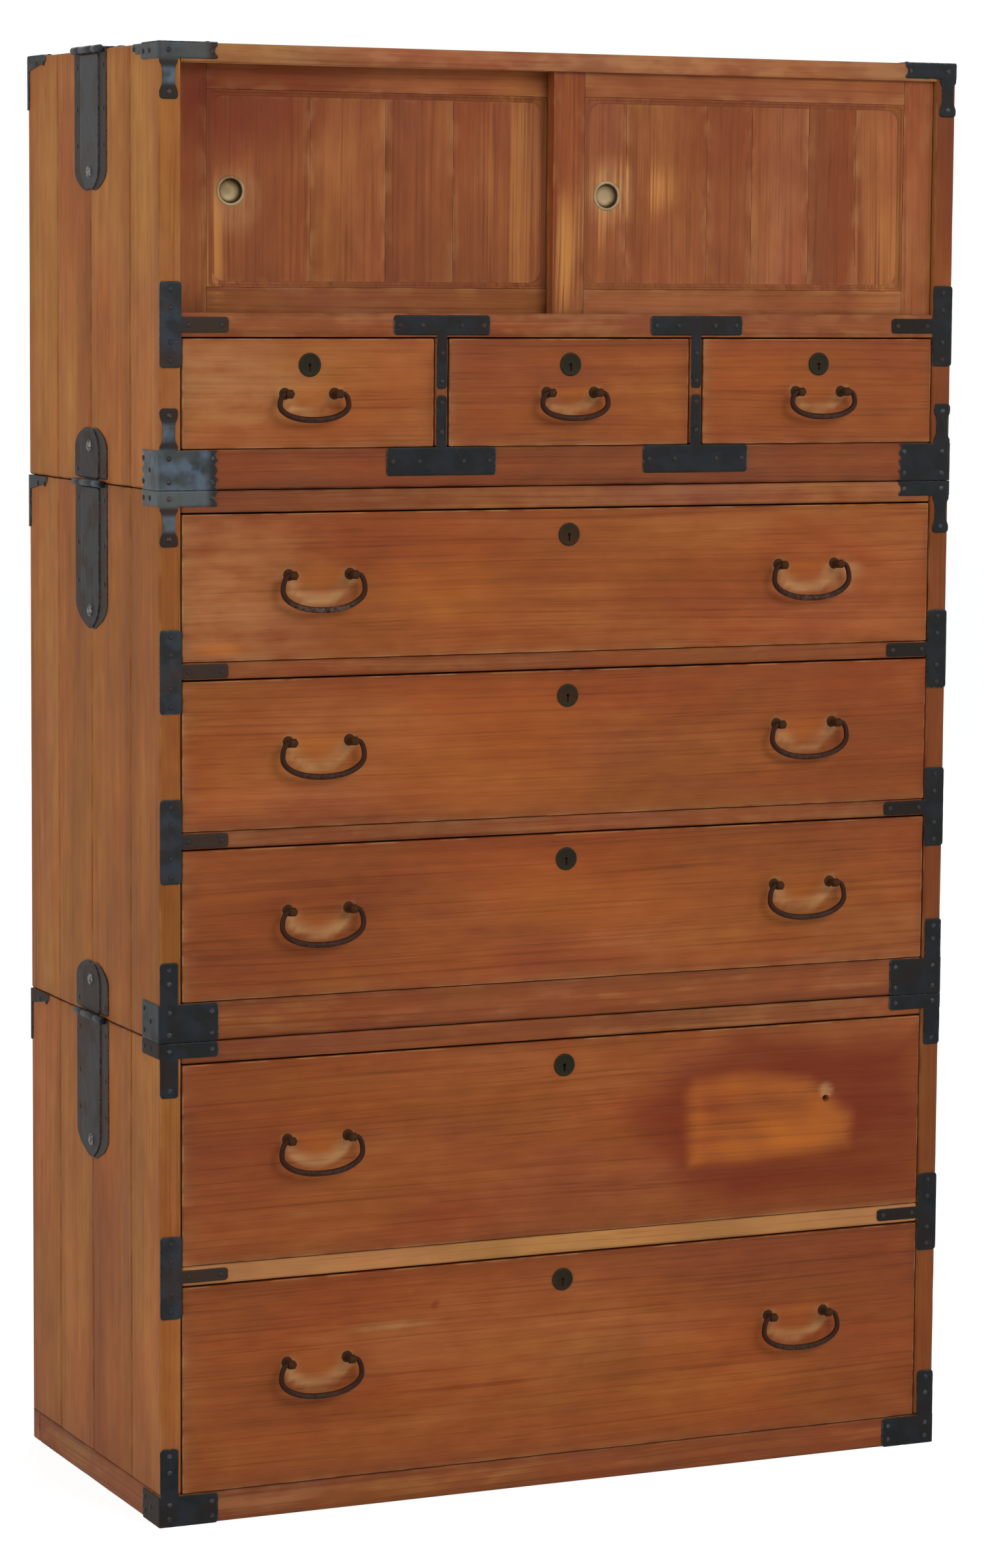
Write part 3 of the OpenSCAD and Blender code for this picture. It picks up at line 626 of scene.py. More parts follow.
def wood(name, dark, mid, light, lines=1.0, figure=1.0, rough=0.62, edges=0.35, bared=(174, 95, 28),
         streaky=1.1, bare_from=-0.2):
    """Oiled softwood with its grain along the first part of the grain attribute."""
    LOOKS[name] = bpy.data.materials.new(name)
    g = Graph(LOOKS[name])
    grain = g.values("grain")
    rub_and_highlight, stain, bare = g.parts(g.values("marks"))
    edge, tone, near = g.parts(g.values("wear"))
    drift = g.vector("SUBTRACT", g.noise(grain, (1.1, 5.0, 5.0), 2.0, output="Color"), (0.5, 0.5, 0.5))
    bent = g.vector("ADD", grain, g.vector("MULTIPLY", drift, (0.0, 0.03, 0.03)))
    sweep = g.noise(bent, (0.7, 8.0, 8.0), 2.0)
    streak = g.noise(bent, (1.7, 84.0, 84.0), 3.0)
    line = g.noise(bent, (2.6, 330.0, 330.0), 2.0)
    fibre = g.noise(bent, (22.0, 1300.0, 1300.0), 2.0)
    blotch = g.noise(grain, (5.0, 12.0, 12.0), 3.0)
    mottle = g.noise(grain, (26.0, 60.0, 60.0), 2.0)
    casts = g.parts(g.noise(grain, (3.4, 9.0, 9.0), 3.0, output="Color"))
    value = g.blend((sweep, 0.6 * figure), (streak, 0.36 * figure), (line, 0.26 * lines), (blotch, 0.6),
                    (mottle, 0.3))
    value = g.math("ADD", value, g.times(tone, 0.5), clamp=True)
    colour = g.ramp(value, [(0.12, rgb(*dark)), (0.5, rgb(*mid)), (0.88, rgb(*light))])
    for cast, tint in zip(casts, (RED_TINT, HAZE_TINT, OLIVE_TINT)):
        colour = g.mix(g.remap(cast, 0.48, 0.66, 0.0, 0.8), colour, g.mix(1.0, colour, tint, "MULTIPLY"))
    shade = g.times(g.remap(line, 0.28, 0.45, 1.0 - 0.2 * lines, 1.0), g.remap(fibre, 0.25, 0.5, 0.86, 1.03))
    colour = g.mix(1.0, colour, g.node("CombineXYZ", {0: shade, 1: shade, 2: shade}).outputs[0], "MULTIPLY")
    flecks = ((streak, streaky), (line, 0.6 * streaky), (blotch, 1.4))
    # Stain marks also carry painted shade, and rub marks painted highlight.
    for mark, layers, start, end, strength, paint in (
            (stain, ((blotch, 1.3), (streak, 0.7)), -0.2, 0.7, 0.9, STAINED_AND_SHADED),
            (bare, flecks, bare_from, bare_from + 1.0, 0.85, rgb(*bared)),
            (rub_and_highlight, ((streak, 1.2), (mottle, 1.0)), 0.0, 0.8, 0.9, RUBBED_AND_HIGHLIT)):
        cover = g.times(mark, g.remap(g.blend(*layers), start, end))
        colour = g.mix(g.times(cover, strength, clamp=True), colour, paint)
    # Darkening near the edges: dirt, and painted shade at the seams between the cases
    colour = g.mix(g.times(near, g.remap(blotch, 0.3, 0.7, 0.1, 0.5)), colour, GRIME_AND_SHADE)
    colour = g.mix(g.times(edge, g.remap(mottle, 0.42, 0.62, 0.0, edges)), colour, RUBBED_AND_HIGHLIT)
    g.feed(g.shader, {
        "Base Color": colour,
        "Roughness": g.math("ADD", g.times(streak, 0.22), rough - 0.11),
        "Specular IOR Level": 0.12,
        "Normal": g.bump(g.blend((line, 0.8), (fibre, 0.6), (streak, 0.5)), 0.25, 0.0008),
    })


def iron(name, base, brown, worn_and_glint_colour, metallic=0.4, rough=0.5, relief=0.35, cool=0.1, gloss=0.2):
    """Old wrought iron: black-blue scale, brown rust in patches, and edges worn bright that on the bails are
    painted highlight. A tone above zero is browner, one below zero bluer; pale below zero is darker."""
    LOOKS[name] = bpy.data.materials.new(name)
    g = Graph(LOOKS[name])
    place = g.values("grain")
    edge, tone, pale = g.parts(g.values("wear"))
    patch = g.noise(place, (30.0, 30.0, 30.0), 3.0)
    speck = g.noise(place, (330.0, 330.0, 330.0), 2.0)
    hammer = g.noise(place, (110.0, 110.0, 110.0), 1.0)
    rust = g.math("ADD", g.remap(patch, 0.46, 0.72, 0.0, 0.6), tone, clamp=True)
    colour = rgb(*base)
    if cool:
        cloud = g.noise(place, (42.0, 42.0, 42.0), 2.0)
        blue = g.times(g.remap(cloud, 0.4, 0.62), g.math("SUBTRACT", cool, tone), clamp=True)
        colour = g.mix(blue, colour, SLATE)
    colour = g.mix(rust, colour, rgb(*brown))
    colour = g.mix(g.times(pale, g.remap(patch, 0.3, 0.7, 0.6, 1.0)), colour, PALE_IRON)
    colour = g.mix(g.times(pale, -1.0), colour, DARK_IRON)
    worn_and_glint = g.times(edge, g.remap(speck, 0.4, 0.6, 0.0, 0.25), clamp=True)
    g.feed(g.shader, {
        "Base Color": g.mix(worn_and_glint, colour, rgb(*worn_and_glint_colour)),
        "Metallic": metallic,
        "Roughness": g.math("ADD", g.times(rust, 0.2), rough),
        "Specular IOR Level": gloss,
        "Normal": g.bump(g.blend((hammer, 1.0), (speck, 0.35)), relief, 0.001),
    })


wood("side_wood", (108, 60, 22), (142, 84, 34), (172, 114, 56), lines=0.8, figure=1.1)
wood("front_wood", (108, 53, 22), (135, 71, 31), (160, 96, 50), edges=0.6)
wood("door_wood", (102, 50, 24), (128, 70, 36), (156, 96, 54), lines=0.9, bared=(190, 128, 66), streaky=3.6,
     bare_from=0.1)
wood("board_wood", (104, 53, 25), (134, 73, 37), (182, 124, 74), lines=0.8, edges=0.2)
wood("back_wood", (112, 76, 46), (150, 110, 72), (178, 140, 98), lines=0.8, rough=0.7)
wood("box_wood", (140, 100, 62), (174, 134, 90), (196, 160, 116), lines=0.6, figure=0.8, rough=0.7)
iron("strap_iron", (30, 32, 33), (54, 38, 29), (132, 128, 122))
iron("bail_iron", (46, 22, 9), (58, 29, 12), (150, 134, 118), metallic=0.0, cool=0.0, gloss=0.1)
iron("lock_iron", (32, 28, 16), (62, 34, 14), (84, 75, 56), metallic=0.2, cool=0.0, gloss=0.1)
iron("cup_metal", (146, 126, 92), (96, 66, 36), (178, 138, 100), metallic=0.5, rough=0.45, relief=0.12,
     cool=0.0)
LOOKS["foot_wood"] = LOOKS["board_wood"]

# The slot, and so the look, of each node, by how its name ends
SLOTS = (
    ("_bail", "bail_iron"),
    ("_cup", "cup_metal"),
    ("_ironwork", "lock_iron"),
    ("_irons", "strap_iron"),
    ("_leaf", "strap_iron"),
    ("_front", "front_wood"),
    ("_box", "box_wood"),
    ("_door", "door_wood"),
    ("_sides", "side_wood"),
    ("_back", "back_wood"),
    ("_foot_frame", "foot_wood"),
    ("", "board_wood"),
)


# Cases

SIDE_SHARES = (0.9, 1.25, 1.1, 1.0)
SIDE_TONES = {
    "base": (0.08, -0.08, 0.08, 0.08),
    "middle": (-0.16, -0.1, 0.08, 0.0),
    "top": (0.24, 0.16, 0.04, 0.14),
}
BACK_SHARES = (1.1, 0.9, 1.0, 1.2, 0.8, 1.0)
PEG = ((2.2, -1.0), (2.2, 0.3), (1.54, 0.6), (0.2, 0.7))

# Stain of the front edges of the left and right side; the right side's larger share is painted shade
STILE_STAIN_AND_SHADE = {"base": (0.1, 0.35), "middle": (0.1, 0.45), "top": (0.15, 0.75)}


def build_boards(node, seed, tones=()):
    """One board for each solid of a node, with its grain along its longest side."""
    shell = Shell(node)
    for i, (lo, hi) in enumerate(solids(node)):
        along, across, _ = np.argsort(lo - hi, kind="stable")
        tone = tones[i] if i < len(tones) else 0.0
        add_board(shell, lo, hi, along, across, seed + 7 * i, tone, dirt=1.4, radius=CASE_EDGE_R)
    shell.finish()


def planks(lo, hi, axis, shares, gap):
    """Boxes of planks side by side along an axis, with widths in the given shares."""
    ends = lo[axis] + (hi[axis] - lo[axis]) * np.cumsum((0, *shares)) / sum(shares)
    boxes = []
    for k in range(len(shares)):
        a = lo.copy()
        b = hi.copy()
        a[axis] = ends[k] + (gap / 2 if k > 0 else 0)
        b[axis] = ends[k + 1] - (gap / 2 if k < len(shares) - 1 else 0)
        boxes.append((a, b))
    return boxes


def build_sides(case, seed):
    def paint(marks, points, lo, hi):
        """A darker front edge, as stain and on the right side as painted shade, dirt at the foot of the
        base, and a dark run down its side.
        """
        marks[:, STAIN_AND_SHADE] = STILE_STAIN_AND_SHADE[case][int(lo[X] > 0)] * (points[:, Y] < FRONT_Y + 1.5)
        if case == "base":
            height = points[:, Z] - lo[Z]
            run = np.exp(-((points[:, Y] + 10) / 34) ** 2) * (1 - smooth_step(height, 250, 380))
            marks[:, STAIN_AND_SHADE] += 0.15 * (1 - smooth_step(height, 0, 110)) + 0.4 * run

    shell = Shell(case + "_sides")
    for i, (lo, hi) in enumerate(solids(shell.node)):
        for k, (a, b) in enumerate(planks(lo, hi, Y, SIDE_SHARES, SIDE_SEAM)):
            # Painted shade: the front plank of the right side is darker and holds more darkening at its
            # edges.
            dark = lo[X] > 0 and k == 0
            tone = SIDE_TONES[case][k] - (0.3 if dark else 0.0)
            add_board(shell, a, b, Z, Y, seed + 31 * i + k, tone, paint=paint, dirt=1.3 if dark else 0.6,
                      radius=CASE_EDGE_R)
    shell.finish()


def build_back(case, seed):
    shell = Shell(case + "_back")
    lo, hi = span(shell.node)
    for k, (a, b) in enumerate(planks(lo, hi, X, BACK_SHARES, BACK_SEAM)):
        add_board(shell, a, b, Z, X, seed + k, 0.06 * math.sin(5.0 * k), radius=BACK_EDGE_R)
    for z in (lo[Z] + 12, (lo[Z] + hi[Z]) / 2, hi[Z] - 12):
        for x in np.linspace(lo[X] + 25, hi[X] - 25, 10):
            points, faces = turned(PEG, (x, hi[Y], z), Y, 10)
            shell.add(points, faces, *board_values(points, lo, hi, Z, X, seed + 40, -0.25))
    shell.finish()


def build_top_boards(seed):
    """Foot and bottom board, and the shelf and top board with the grooves of the doors."""
    shell = Shell("top_boards")
    *plain, shelf, lid = solids(shell.node)
    for i, (lo, hi) in enumerate(plain):
        across = np.argsort(lo - hi, kind="stable")[1]
        add_board(shell, lo, hi, X, across, seed + i, -0.4 if i == 0 else 0.0, dirt=1.5, radius=CASE_EDGE_R)
    doors = [span(side + "_door")[:, Y] for side in ("left", "right")]
    grooves = sorted((y0 - DOOR_PLAY, y1 + DOOR_PLAY) for y0, y1 in doors)
    for (lo, hi), up, depth, tone in ((shelf, 1, LOWER_GROOVE, 0.05), (lid, -1, UPPER_GROOVE, 0.42)):
        face = end_of(lo, hi, Z, up)
        far = end_of(lo, hi, Z, -up)
        outline = [(lo[Y], far), (lo[Y], face)]
        for y0, y1 in grooves:
            outline += [(y0, face), (y0, face - up * depth), (y1, face - up * depth), (y1, face)]
        outline += [(hi[Y], face), (hi[Y], far)]
        add_moulded_board(shell, outline, lo[X], hi[X], seed + 20 + up, tone)
    shell.finish()


# Irons

# Pallor of the irons of the right and left side of the front, and looks of straps and leaves
FAR_PALE = -0.7
NEAR_PALE = -0.5
FACING_PALE = -0.65
STRAP_PALE = {"base": -0.15, "middle": -0.2, "top": 0.18}
STRAP_TONE = {"base": 0.3, "middle": 0.15, "top": 0.1}
LEAF_TONE = {"base": 0.7, "middle": 0.4, "top": 0.1}
RUSTY_WRAP = 0.9


def wrapped(corner, sx, sy, up):
    """Puts a plate round a vertical edge of a case: u runs from the edge along the front or back, or,
    below zero, along the side; v runs from the corner, up or down; w stands off the wood."""
    half = EDGE_R * math.pi / 4

    def place(u, v, w):
        turn = np.clip(u, -half, half) / EDGE_R
        past_x = np.clip(u - half, 0, None)
        past_y = np.clip(-u - half, 0, None)
        x = corner[X] - sx * (EDGE_R + past_x) + sx * (EDGE_R + w) * np.sin(math.pi / 4 - turn)
        y = corner[Y] - sy * (EDGE_R + past_y) + sy * (EDGE_R + w) * np.sin(math.pi / 4 + turn)
        return np.stack([x, y, corner[Z] + up * v], axis=1)
    return place


def on_front(sx, x, y, z):
    """Puts a plate on a front: u runs inwards from x, v up from z and w outwards."""
    return lambda u, v, w: np.stack([x - sx * u, y - w, z + v], axis=1)


def on_side(sx, face, z):
    """Puts a strap on the outside of a case: u runs along Y, v up from z and w outwards."""
    return lambda u, v, w: np.stack([face + sx * w, u, z + v], axis=1)


def lobed(arm, wrap, leg, arm_h, stile):
    """Gives a corner iron lobes at the end of each arm and a waist in the upright."""
    def shape(u, v):
        waves = 0.5 + 0.5 * np.cos(v / arm_h * 2 * math.pi * max(1, round(arm_h / LOBE_H)))
        from_end = np.where(u > 0, arm - u, wrap + u)
        depth = np.where(u > 0, LOBE_DEPTH, LOBE_DEPTH * 2)
        near_end = np.clip(1 - from_end / (depth * 2.2), 0, 1) * (v <= arm_h + 0.1)
        u = u - np.sign(u) * depth * (1 - waves) * near_end
        along = (v - arm_h) / max(leg - arm_h, 1.0)
        narrow = WAIST * smooth_step(along, 0.08, 0.24) * (1 - smooth_step(along, 0.62, 0.8))
        return np.where(v > arm_h, stile / 2 + (u - stile / 2) * (1 - narrow), u), v
    return shape


def aged(arm, arm_h, leg, blue, grey):
    """The look of a waisted corner iron: rusty ends, grey between them and blue on its arm."""
    def look(u, v):
        head = smooth_step(v, leg - 18, leg - 12)
        root = 0.8 * np.exp(-((v - arm_h - 5) / 4) ** 2)
        rust = np.clip(head + root + 0.7 * smooth_step(u, arm - 16, arm - 5), 0, 1)
        spot = blue * np.exp(-((u - 0.62 * arm) / 13) ** 2 - ((v - 0.55 * arm_h) / 11) ** 2)
        blueness = np.maximum(np.maximum(spot, 0.45 * blue), 0.45 * (v > arm_h + 2))
        return 0.9 * (rust - blueness), grey * (1 - rust) * (1 - blueness) - 0.3 * rust
    return look


def corner_iron(shell, lo, hi, case, case_lo, case_hi, signs, foot_h, seed):
    """The iron in the box of its CAD solid, at the corner of a case that the signs give. The front ones
    of the top case, and the upper ones of the middle, end in lobes. The front ones at the very top run
    out into a thin tip along the side, those at the back taper there, and both lie on the top board."""
    sx, sy, sz = signs
    arm_h = UPPER_ARM_H if sz > 0 else foot_h - FOOT_IRON_SET
    lid = case == "top" and sz > 0
    tip = lid and sy < 0
    corner = [end_of(case_lo, case_hi, a, s) for a, s in enumerate(signs)]
    slack = EDGE_R * (1 - math.pi / 4)
    reach = [abs(corner[a] - end_of(lo, hi, a, -s)) for a, s in enumerate(signs)]
    arm, wrap, leg = np.subtract(reach, (slack, slack, 0.0))
    stile = CORNER_LEG_W - slack
    nail_rows = (FAR_NAIL_IN, arm_h - FAR_NAIL_IN) if arm_h > TALL_ARM_H else (arm_h / 2, )
    nails = [(stile / 2, leg - NAIL_IN)] + [(u, v) for v in nail_rows for u in (arm - NAIL_IN, stile / 2)]
    if leg - arm_h > TALL_LEG_H:
        nails.append((stile / 2, (leg + arm_h) / 2))
    side_nails = []
    start = EDGE_R * math.pi / 4
    rects = [(start, arm, 0.0, arm_h), (start, stile, 0.0, leg)]
    shape = None
    if wrap > BACK_EDGE_W:
        near = min(wrap, WRAP_FRONT - slack) if tip else wrap
        rects = [(-near, arm, 0.0, arm_h), (0.0, stile, 0.0, leg)]
        side_nails = [(-near + NAIL_IN, v) for v in nail_rows] + [(-near / 2, arm_h / 2)]
        if tip:
            rects.append((-wrap, -near, 0.0, WRAP_TIP_H))
            side_nails.append((-wrap + 7, WRAP_TIP_H / 2))
        if sy > 0:
            shape = lambda u, v: (u, np.where(u < -BACK_EDGE_W, v * (1 - 0.6 * np.abs(u) / wrap), v))
            if sz > 0:
                rects.append((-BACK_EDGE_W, 0.0, 0.0, leg))
    pale = FAR_PALE if sx > 0 else NEAR_PALE
    look = lambda u, v: (RUSTY_WRAP * (u < 0) * (case == "base"), pale)
    if sy < 0 and (case == "top" or case == "middle" and sz > 0):
        shape = lobed(arm, wrap, leg, arm_h, stile)
        if sx < 0:
            look = aged(arm, arm_h, leg, 0.0 if tip else 0.35 if sz > 0 else 1.0, 0.4 if tip else 0.65)
    place = wrapped(corner, sx, sy, -sz)
    add_plate(shell, rects, place, side_nails, shape, seed, look)
    for u, v in nails:
        shell.metal(*nail(u, v, place, SHEET_T, FLAT_NAIL_H if sy > 0 else NAIL_H), edge=0.6)
    if lid:
        deep = min(wrap, WRAP_FRONT)
        rects = [(-SHEET_T, arm, -SHEET_T, CORNER_LEG_W), (-SHEET_T, CORNER_LEG_W, -SHEET_T, deep)]
        nails = [(arm - FAR_NAIL_IN, CORNER_LEG_W / 2), (CORNER_LEG_W / 2, deep - FAR_NAIL_IN)]
        add_plate(shell, rects, lambda u, v, w: np.stack([corner[X] - sx * u, corner[Y] - sy * v,
                                                          corner[Z] + w], axis=1), nails, seed=seed + 4)


def strap_shape(tip, blunt):
    """Rounds the end of a strap at its tip in v, with a small notch in it. A blunt one is wider there."""
    end_half, taper = (BLUNT_HALF, BLUNT_L) if blunt else (TIP_HALF, TAPER_L)

    def shape(u, v):
        left = np.abs(tip - v)
        full = np.abs(u).max()
        tip_half = end_half * full / STRAP_HALF
        u = u / full * (tip_half + (full - tip_half) * np.sin(np.clip(left / taper, 0, 1) * math.pi / 2))
        share = np.abs(u) / tip_half
        notch = TIP_NOTCH * np.exp(-(share / 0.3) ** 2) + TIP_ROUND * np.clip(share, 0, 1) ** 3
        return u, v - np.sign(tip) * notch * np.clip(1 - left / 12.0, 0, 1)
    return shape


def add_strap(shell, place, half, root, tip, tongues, nail_rows, blunt, look, seed):
    """Adds the two sheets of a strap, from root to tip in v, with tongues by its hinge, and its stud."""
    sign = 1 if tip > 0 else -1
    inset = tip - sign * STRIP_IN
    nails = [(s * (half - FAR_NAIL_IN), v) for s in (-1, 1) for v in nail_rows]
    add_plate(shell, [(-half, half, *sorted((root, tip)))] + tongues, place, nails,
              strap_shape(tip, blunt), seed, (0.5, 0.0), nail_h=STRAP_NAIL_H)
    add_plate(shell, [(-STRIP_HALF, STRIP_HALF, *sorted((root, inset)))], place, [],
              strap_shape(inset, blunt), seed + 5, look, thick=STRIP_T, base=SHEET_T)
    rings = [(STUD_R, -0.1), (STUD_R, 0.6), (STUD_R * 0.82, 1.7), (STUD_R * 0.5, 2.7), (0.3, STUD_H)]
    points, faces = turned(rings, (0, tip - sign * STUD_AT, SHEET_T + STRIP_T - 0.2), Z, 20)
    shell.metal(place(*points.T), faces, edge=3.0, pale=0.3)


def knuckle(shell, axis_x, axis_z, y0, y1):
    """A hinge knuckle with the hole for its pin."""
    profile = bevelled(HINGE_PIN_R + PIN_PLAY, KNUCKLE_R, y0, y1, 0.5)
    shell.metal(*turned(profile, (axis_x, 0, axis_z), Y, 20, closed=True), edge=0.2)


def side_strap(shell, lo, hi, sx, face, case, seed):
    """The fixed strap of one side in the box of its CAD solid, with its outer knuckles."""
    z = hi[Z] - KNUCKLE_R
    length = z - lo[Z] - STRAP_SHORT[case]
    axis_x = end_of(lo, hi, X, sx) - sx * KNUCKLE_R
    half = (hi[Y] - lo[Y]) / 2
    root = -(KNUCKLE_R + KNUCKLE_CLEAR)
    outer = KNUCKLE_W / 2 + KNUCKLE_GAP
    tongues = [(-half, -outer, root, 0.0), (outer, half, root, 0.0)]
    nail_rows = (-18.0, -length * 0.42, -length * 0.68)
    add_strap(shell, on_side(sx, face, z), half, root, -length, tongues, nail_rows, case == "top",
              (STRAP_TONE[case], STRAP_PALE[case]), seed)
    for s in (-1, 1):
        y0, y1 = sorted((s * outer, s * (outer + OUTER_KNUCKLE_W)))
        knuckle(shell, axis_x, z, y0, y1)
        x0, x1 = sorted((face, axis_x + sx * (HINGE_PIN_R - 0.9)))
        shell.metal(*board_form((x0, y0 + 0.3, z - KNUCKLE_R + 0.2), (x1, y1 - 0.3, z - HINGE_PIN_R - 0.3),
                                radius=0.3, wear=0.0), edge=0.1)


def build_leaf(case, side, seed):
    """A hinged leaf: it stands against the case above, or lies folded on the top board."""
    shell = Shell(case + "_" + side + "_strap_leaf")
    lo, hi = span(shell.node)
    sx = 1 if side == "right" else -1
    axis_z = lo[Z] + KNUCKLE_R
    if case == "top":
        axis_x = end_of(lo, hi, X, sx) - sx * KNUCKLE_R
        length = abs(axis_x - end_of(lo, hi, X, -sx))
        place = lambda u, v, w: np.stack([axis_x - sx * v, u, axis_z + LEAF_GAP + w], axis=1)
    else:
        axis_x = sx * (span(case + "_sides")[1][X] + HINGE_OUT)
        length = hi[Z] - axis_z
        place = on_side(sx, axis_x - sx * (HINGE_OUT - LEAF_GAP), axis_z)
    inner = KNUCKLE_W / 2
    root = KNUCKLE_R + SHOULDER_GAP
    add_strap(shell, place, (hi[Y] - lo[Y]) / 2, root, length, [(-inner, inner, KNUCKLE_R * 0.3, root)],
              (root + FAR_NAIL_IN, ), True, (LEAF_TONE[case], STRAP_PALE[case]), seed)
    knuckle(shell, axis_x, axis_z, -inner, inner)
    shell.finish()


def tee_iron(shell, lo, hi, case_lo, case_hi, sx, arm_h, seed):
    """The iron at one end of a front rail."""
    edge_x = end_of(case_lo, case_hi, X, sx)
    half = (hi[Z] - lo[Z]) / 2
    arm = abs(edge_x - end_of(lo, hi, X, -sx))
    rects = [(0.0, TEE_LEG_W, -half, half), (0.0, arm, -arm_h / 2, arm_h / 2)]
    nails = [(TEE_LEG_W / 2, s * v) for v in (half - NAIL_IN, half * 0.4) for s in (-1, 1)]
    nails += [(arm - NAIL_IN, 0.0), (TEE_LEG_W + NAIL_IN, 0.0)]
    pale = FAR_PALE if sx > 0 else 0.0
    add_plate(shell, rects, on_front(sx, edge_x, case_lo[Y], (lo[Z] + hi[Z]) / 2), nails, seed=seed,
              look=lambda u, v: (0.8 * smooth_step(u, TEE_LEG_W - 2, TEE_LEG_W + 10), pale))


def divider_iron(shell, lo, hi, seed):
    """The iron that faces an upright, with its level bar on the shelf or on the foot rail."""
    shelf = lo[Z] > DIVIDER_MIDDLE
    half = (hi[X] - lo[X]) / 2
    total = hi[Z] - lo[Z]
    bar = (total - SHELF_BAR_H, total) if shelf else (0.0, FOOT_BAR_H)
    bar_v = sum(bar) / 2
    end_v = NAIL_IN if shelf else total - NAIL_IN
    rects = [(-half, half, *bar), (-FACING_HALF, FACING_HALF, 0.0, total)]
    nails = [(s * u, bar_v) for u in (half - NAIL_IN, half * 0.4) for s in (-1, 1)]
    nails += [(0.0, end_v), (0.0, (bar_v + end_v) / 2)]
    add_plate(shell, rects, on_front(-1, (lo[X] + hi[X]) / 2, FRONT_Y, lo[Z]), nails, seed=seed,
              look=(0.0, FACING_PALE))


def hinge_pin(shell, lo, hi):
    radius = (hi[Z] - lo[Z]) / 2
    half = (hi[Y] - lo[Y]) / 2
    middle = (lo + hi) / 2
    profile = [(radius - 0.4, -half), (radius, -half + 0.5), (radius, half - 0.5), (radius - 0.4, half)]
    shell.metal(*turned(profile, (middle[X], 0, middle[Z]), Y, 16), edge=0.5)


# What tells the solids of an irons' node apart: width along Y and thickness
STRAP_MIN_W = 80.0
STRAP_MAX_T = 20.0
PIN_MAX_T = 5.0
FLAT_MAX_T = 10.0


def build_irons(case, seed):
    """The irons of a case, each told by the size and place of its CAD solid: hinge pins and straps,
    corner irons, irons at the ends of the rails and irons on the uprights."""
    shell = Shell(case + "_irons")
    case_lo, case_hi = span(case + "_sides")
    foot_lo, foot_hi = solids(case + ("_foot_frame" if case == "base" else "_boards"))[0]
    foot_h = (case_lo if case == "base" else foot_hi)[Z] - foot_lo[Z]
    case_lo[Z] = foot_lo[Z]
    for i, (lo, hi) in enumerate(solids(shell.node)):
        size = hi - lo
        signs = np.where(lo + hi > (0, 0, case_lo[Z] + case_hi[Z]), 1, -1)
        sx = signs[X]
        if size[Y] > STRAP_MIN_W and size[X] < PIN_MAX_T:
            hinge_pin(shell, lo, hi)
        elif size[Y] > STRAP_MIN_W and size[X] < STRAP_MAX_T:
            side_strap(shell, lo, hi, sx, end_of(case_lo, case_hi, X, sx), case, seed + i)
        elif size[Y] > FLAT_MAX_T or lo[Y] > 0:
            corner_iron(shell, lo, hi, case, case_lo, case_hi, signs, foot_h, seed + 9 * i)
        elif abs(lo[X] + hi[X]) / 2 > case_hi[X] * 0.75:
            tee_iron(shell, lo, hi, case_lo, case_hi, sx, TEE_ARM_H[case], seed + 9 * i)
        else:
            divider_iron(shell, lo, hi, seed + 9 * i)
    shell.finish()


# Marks seen on the doors and drawer fronts: kind, place and reach in shares of the whole, and strength

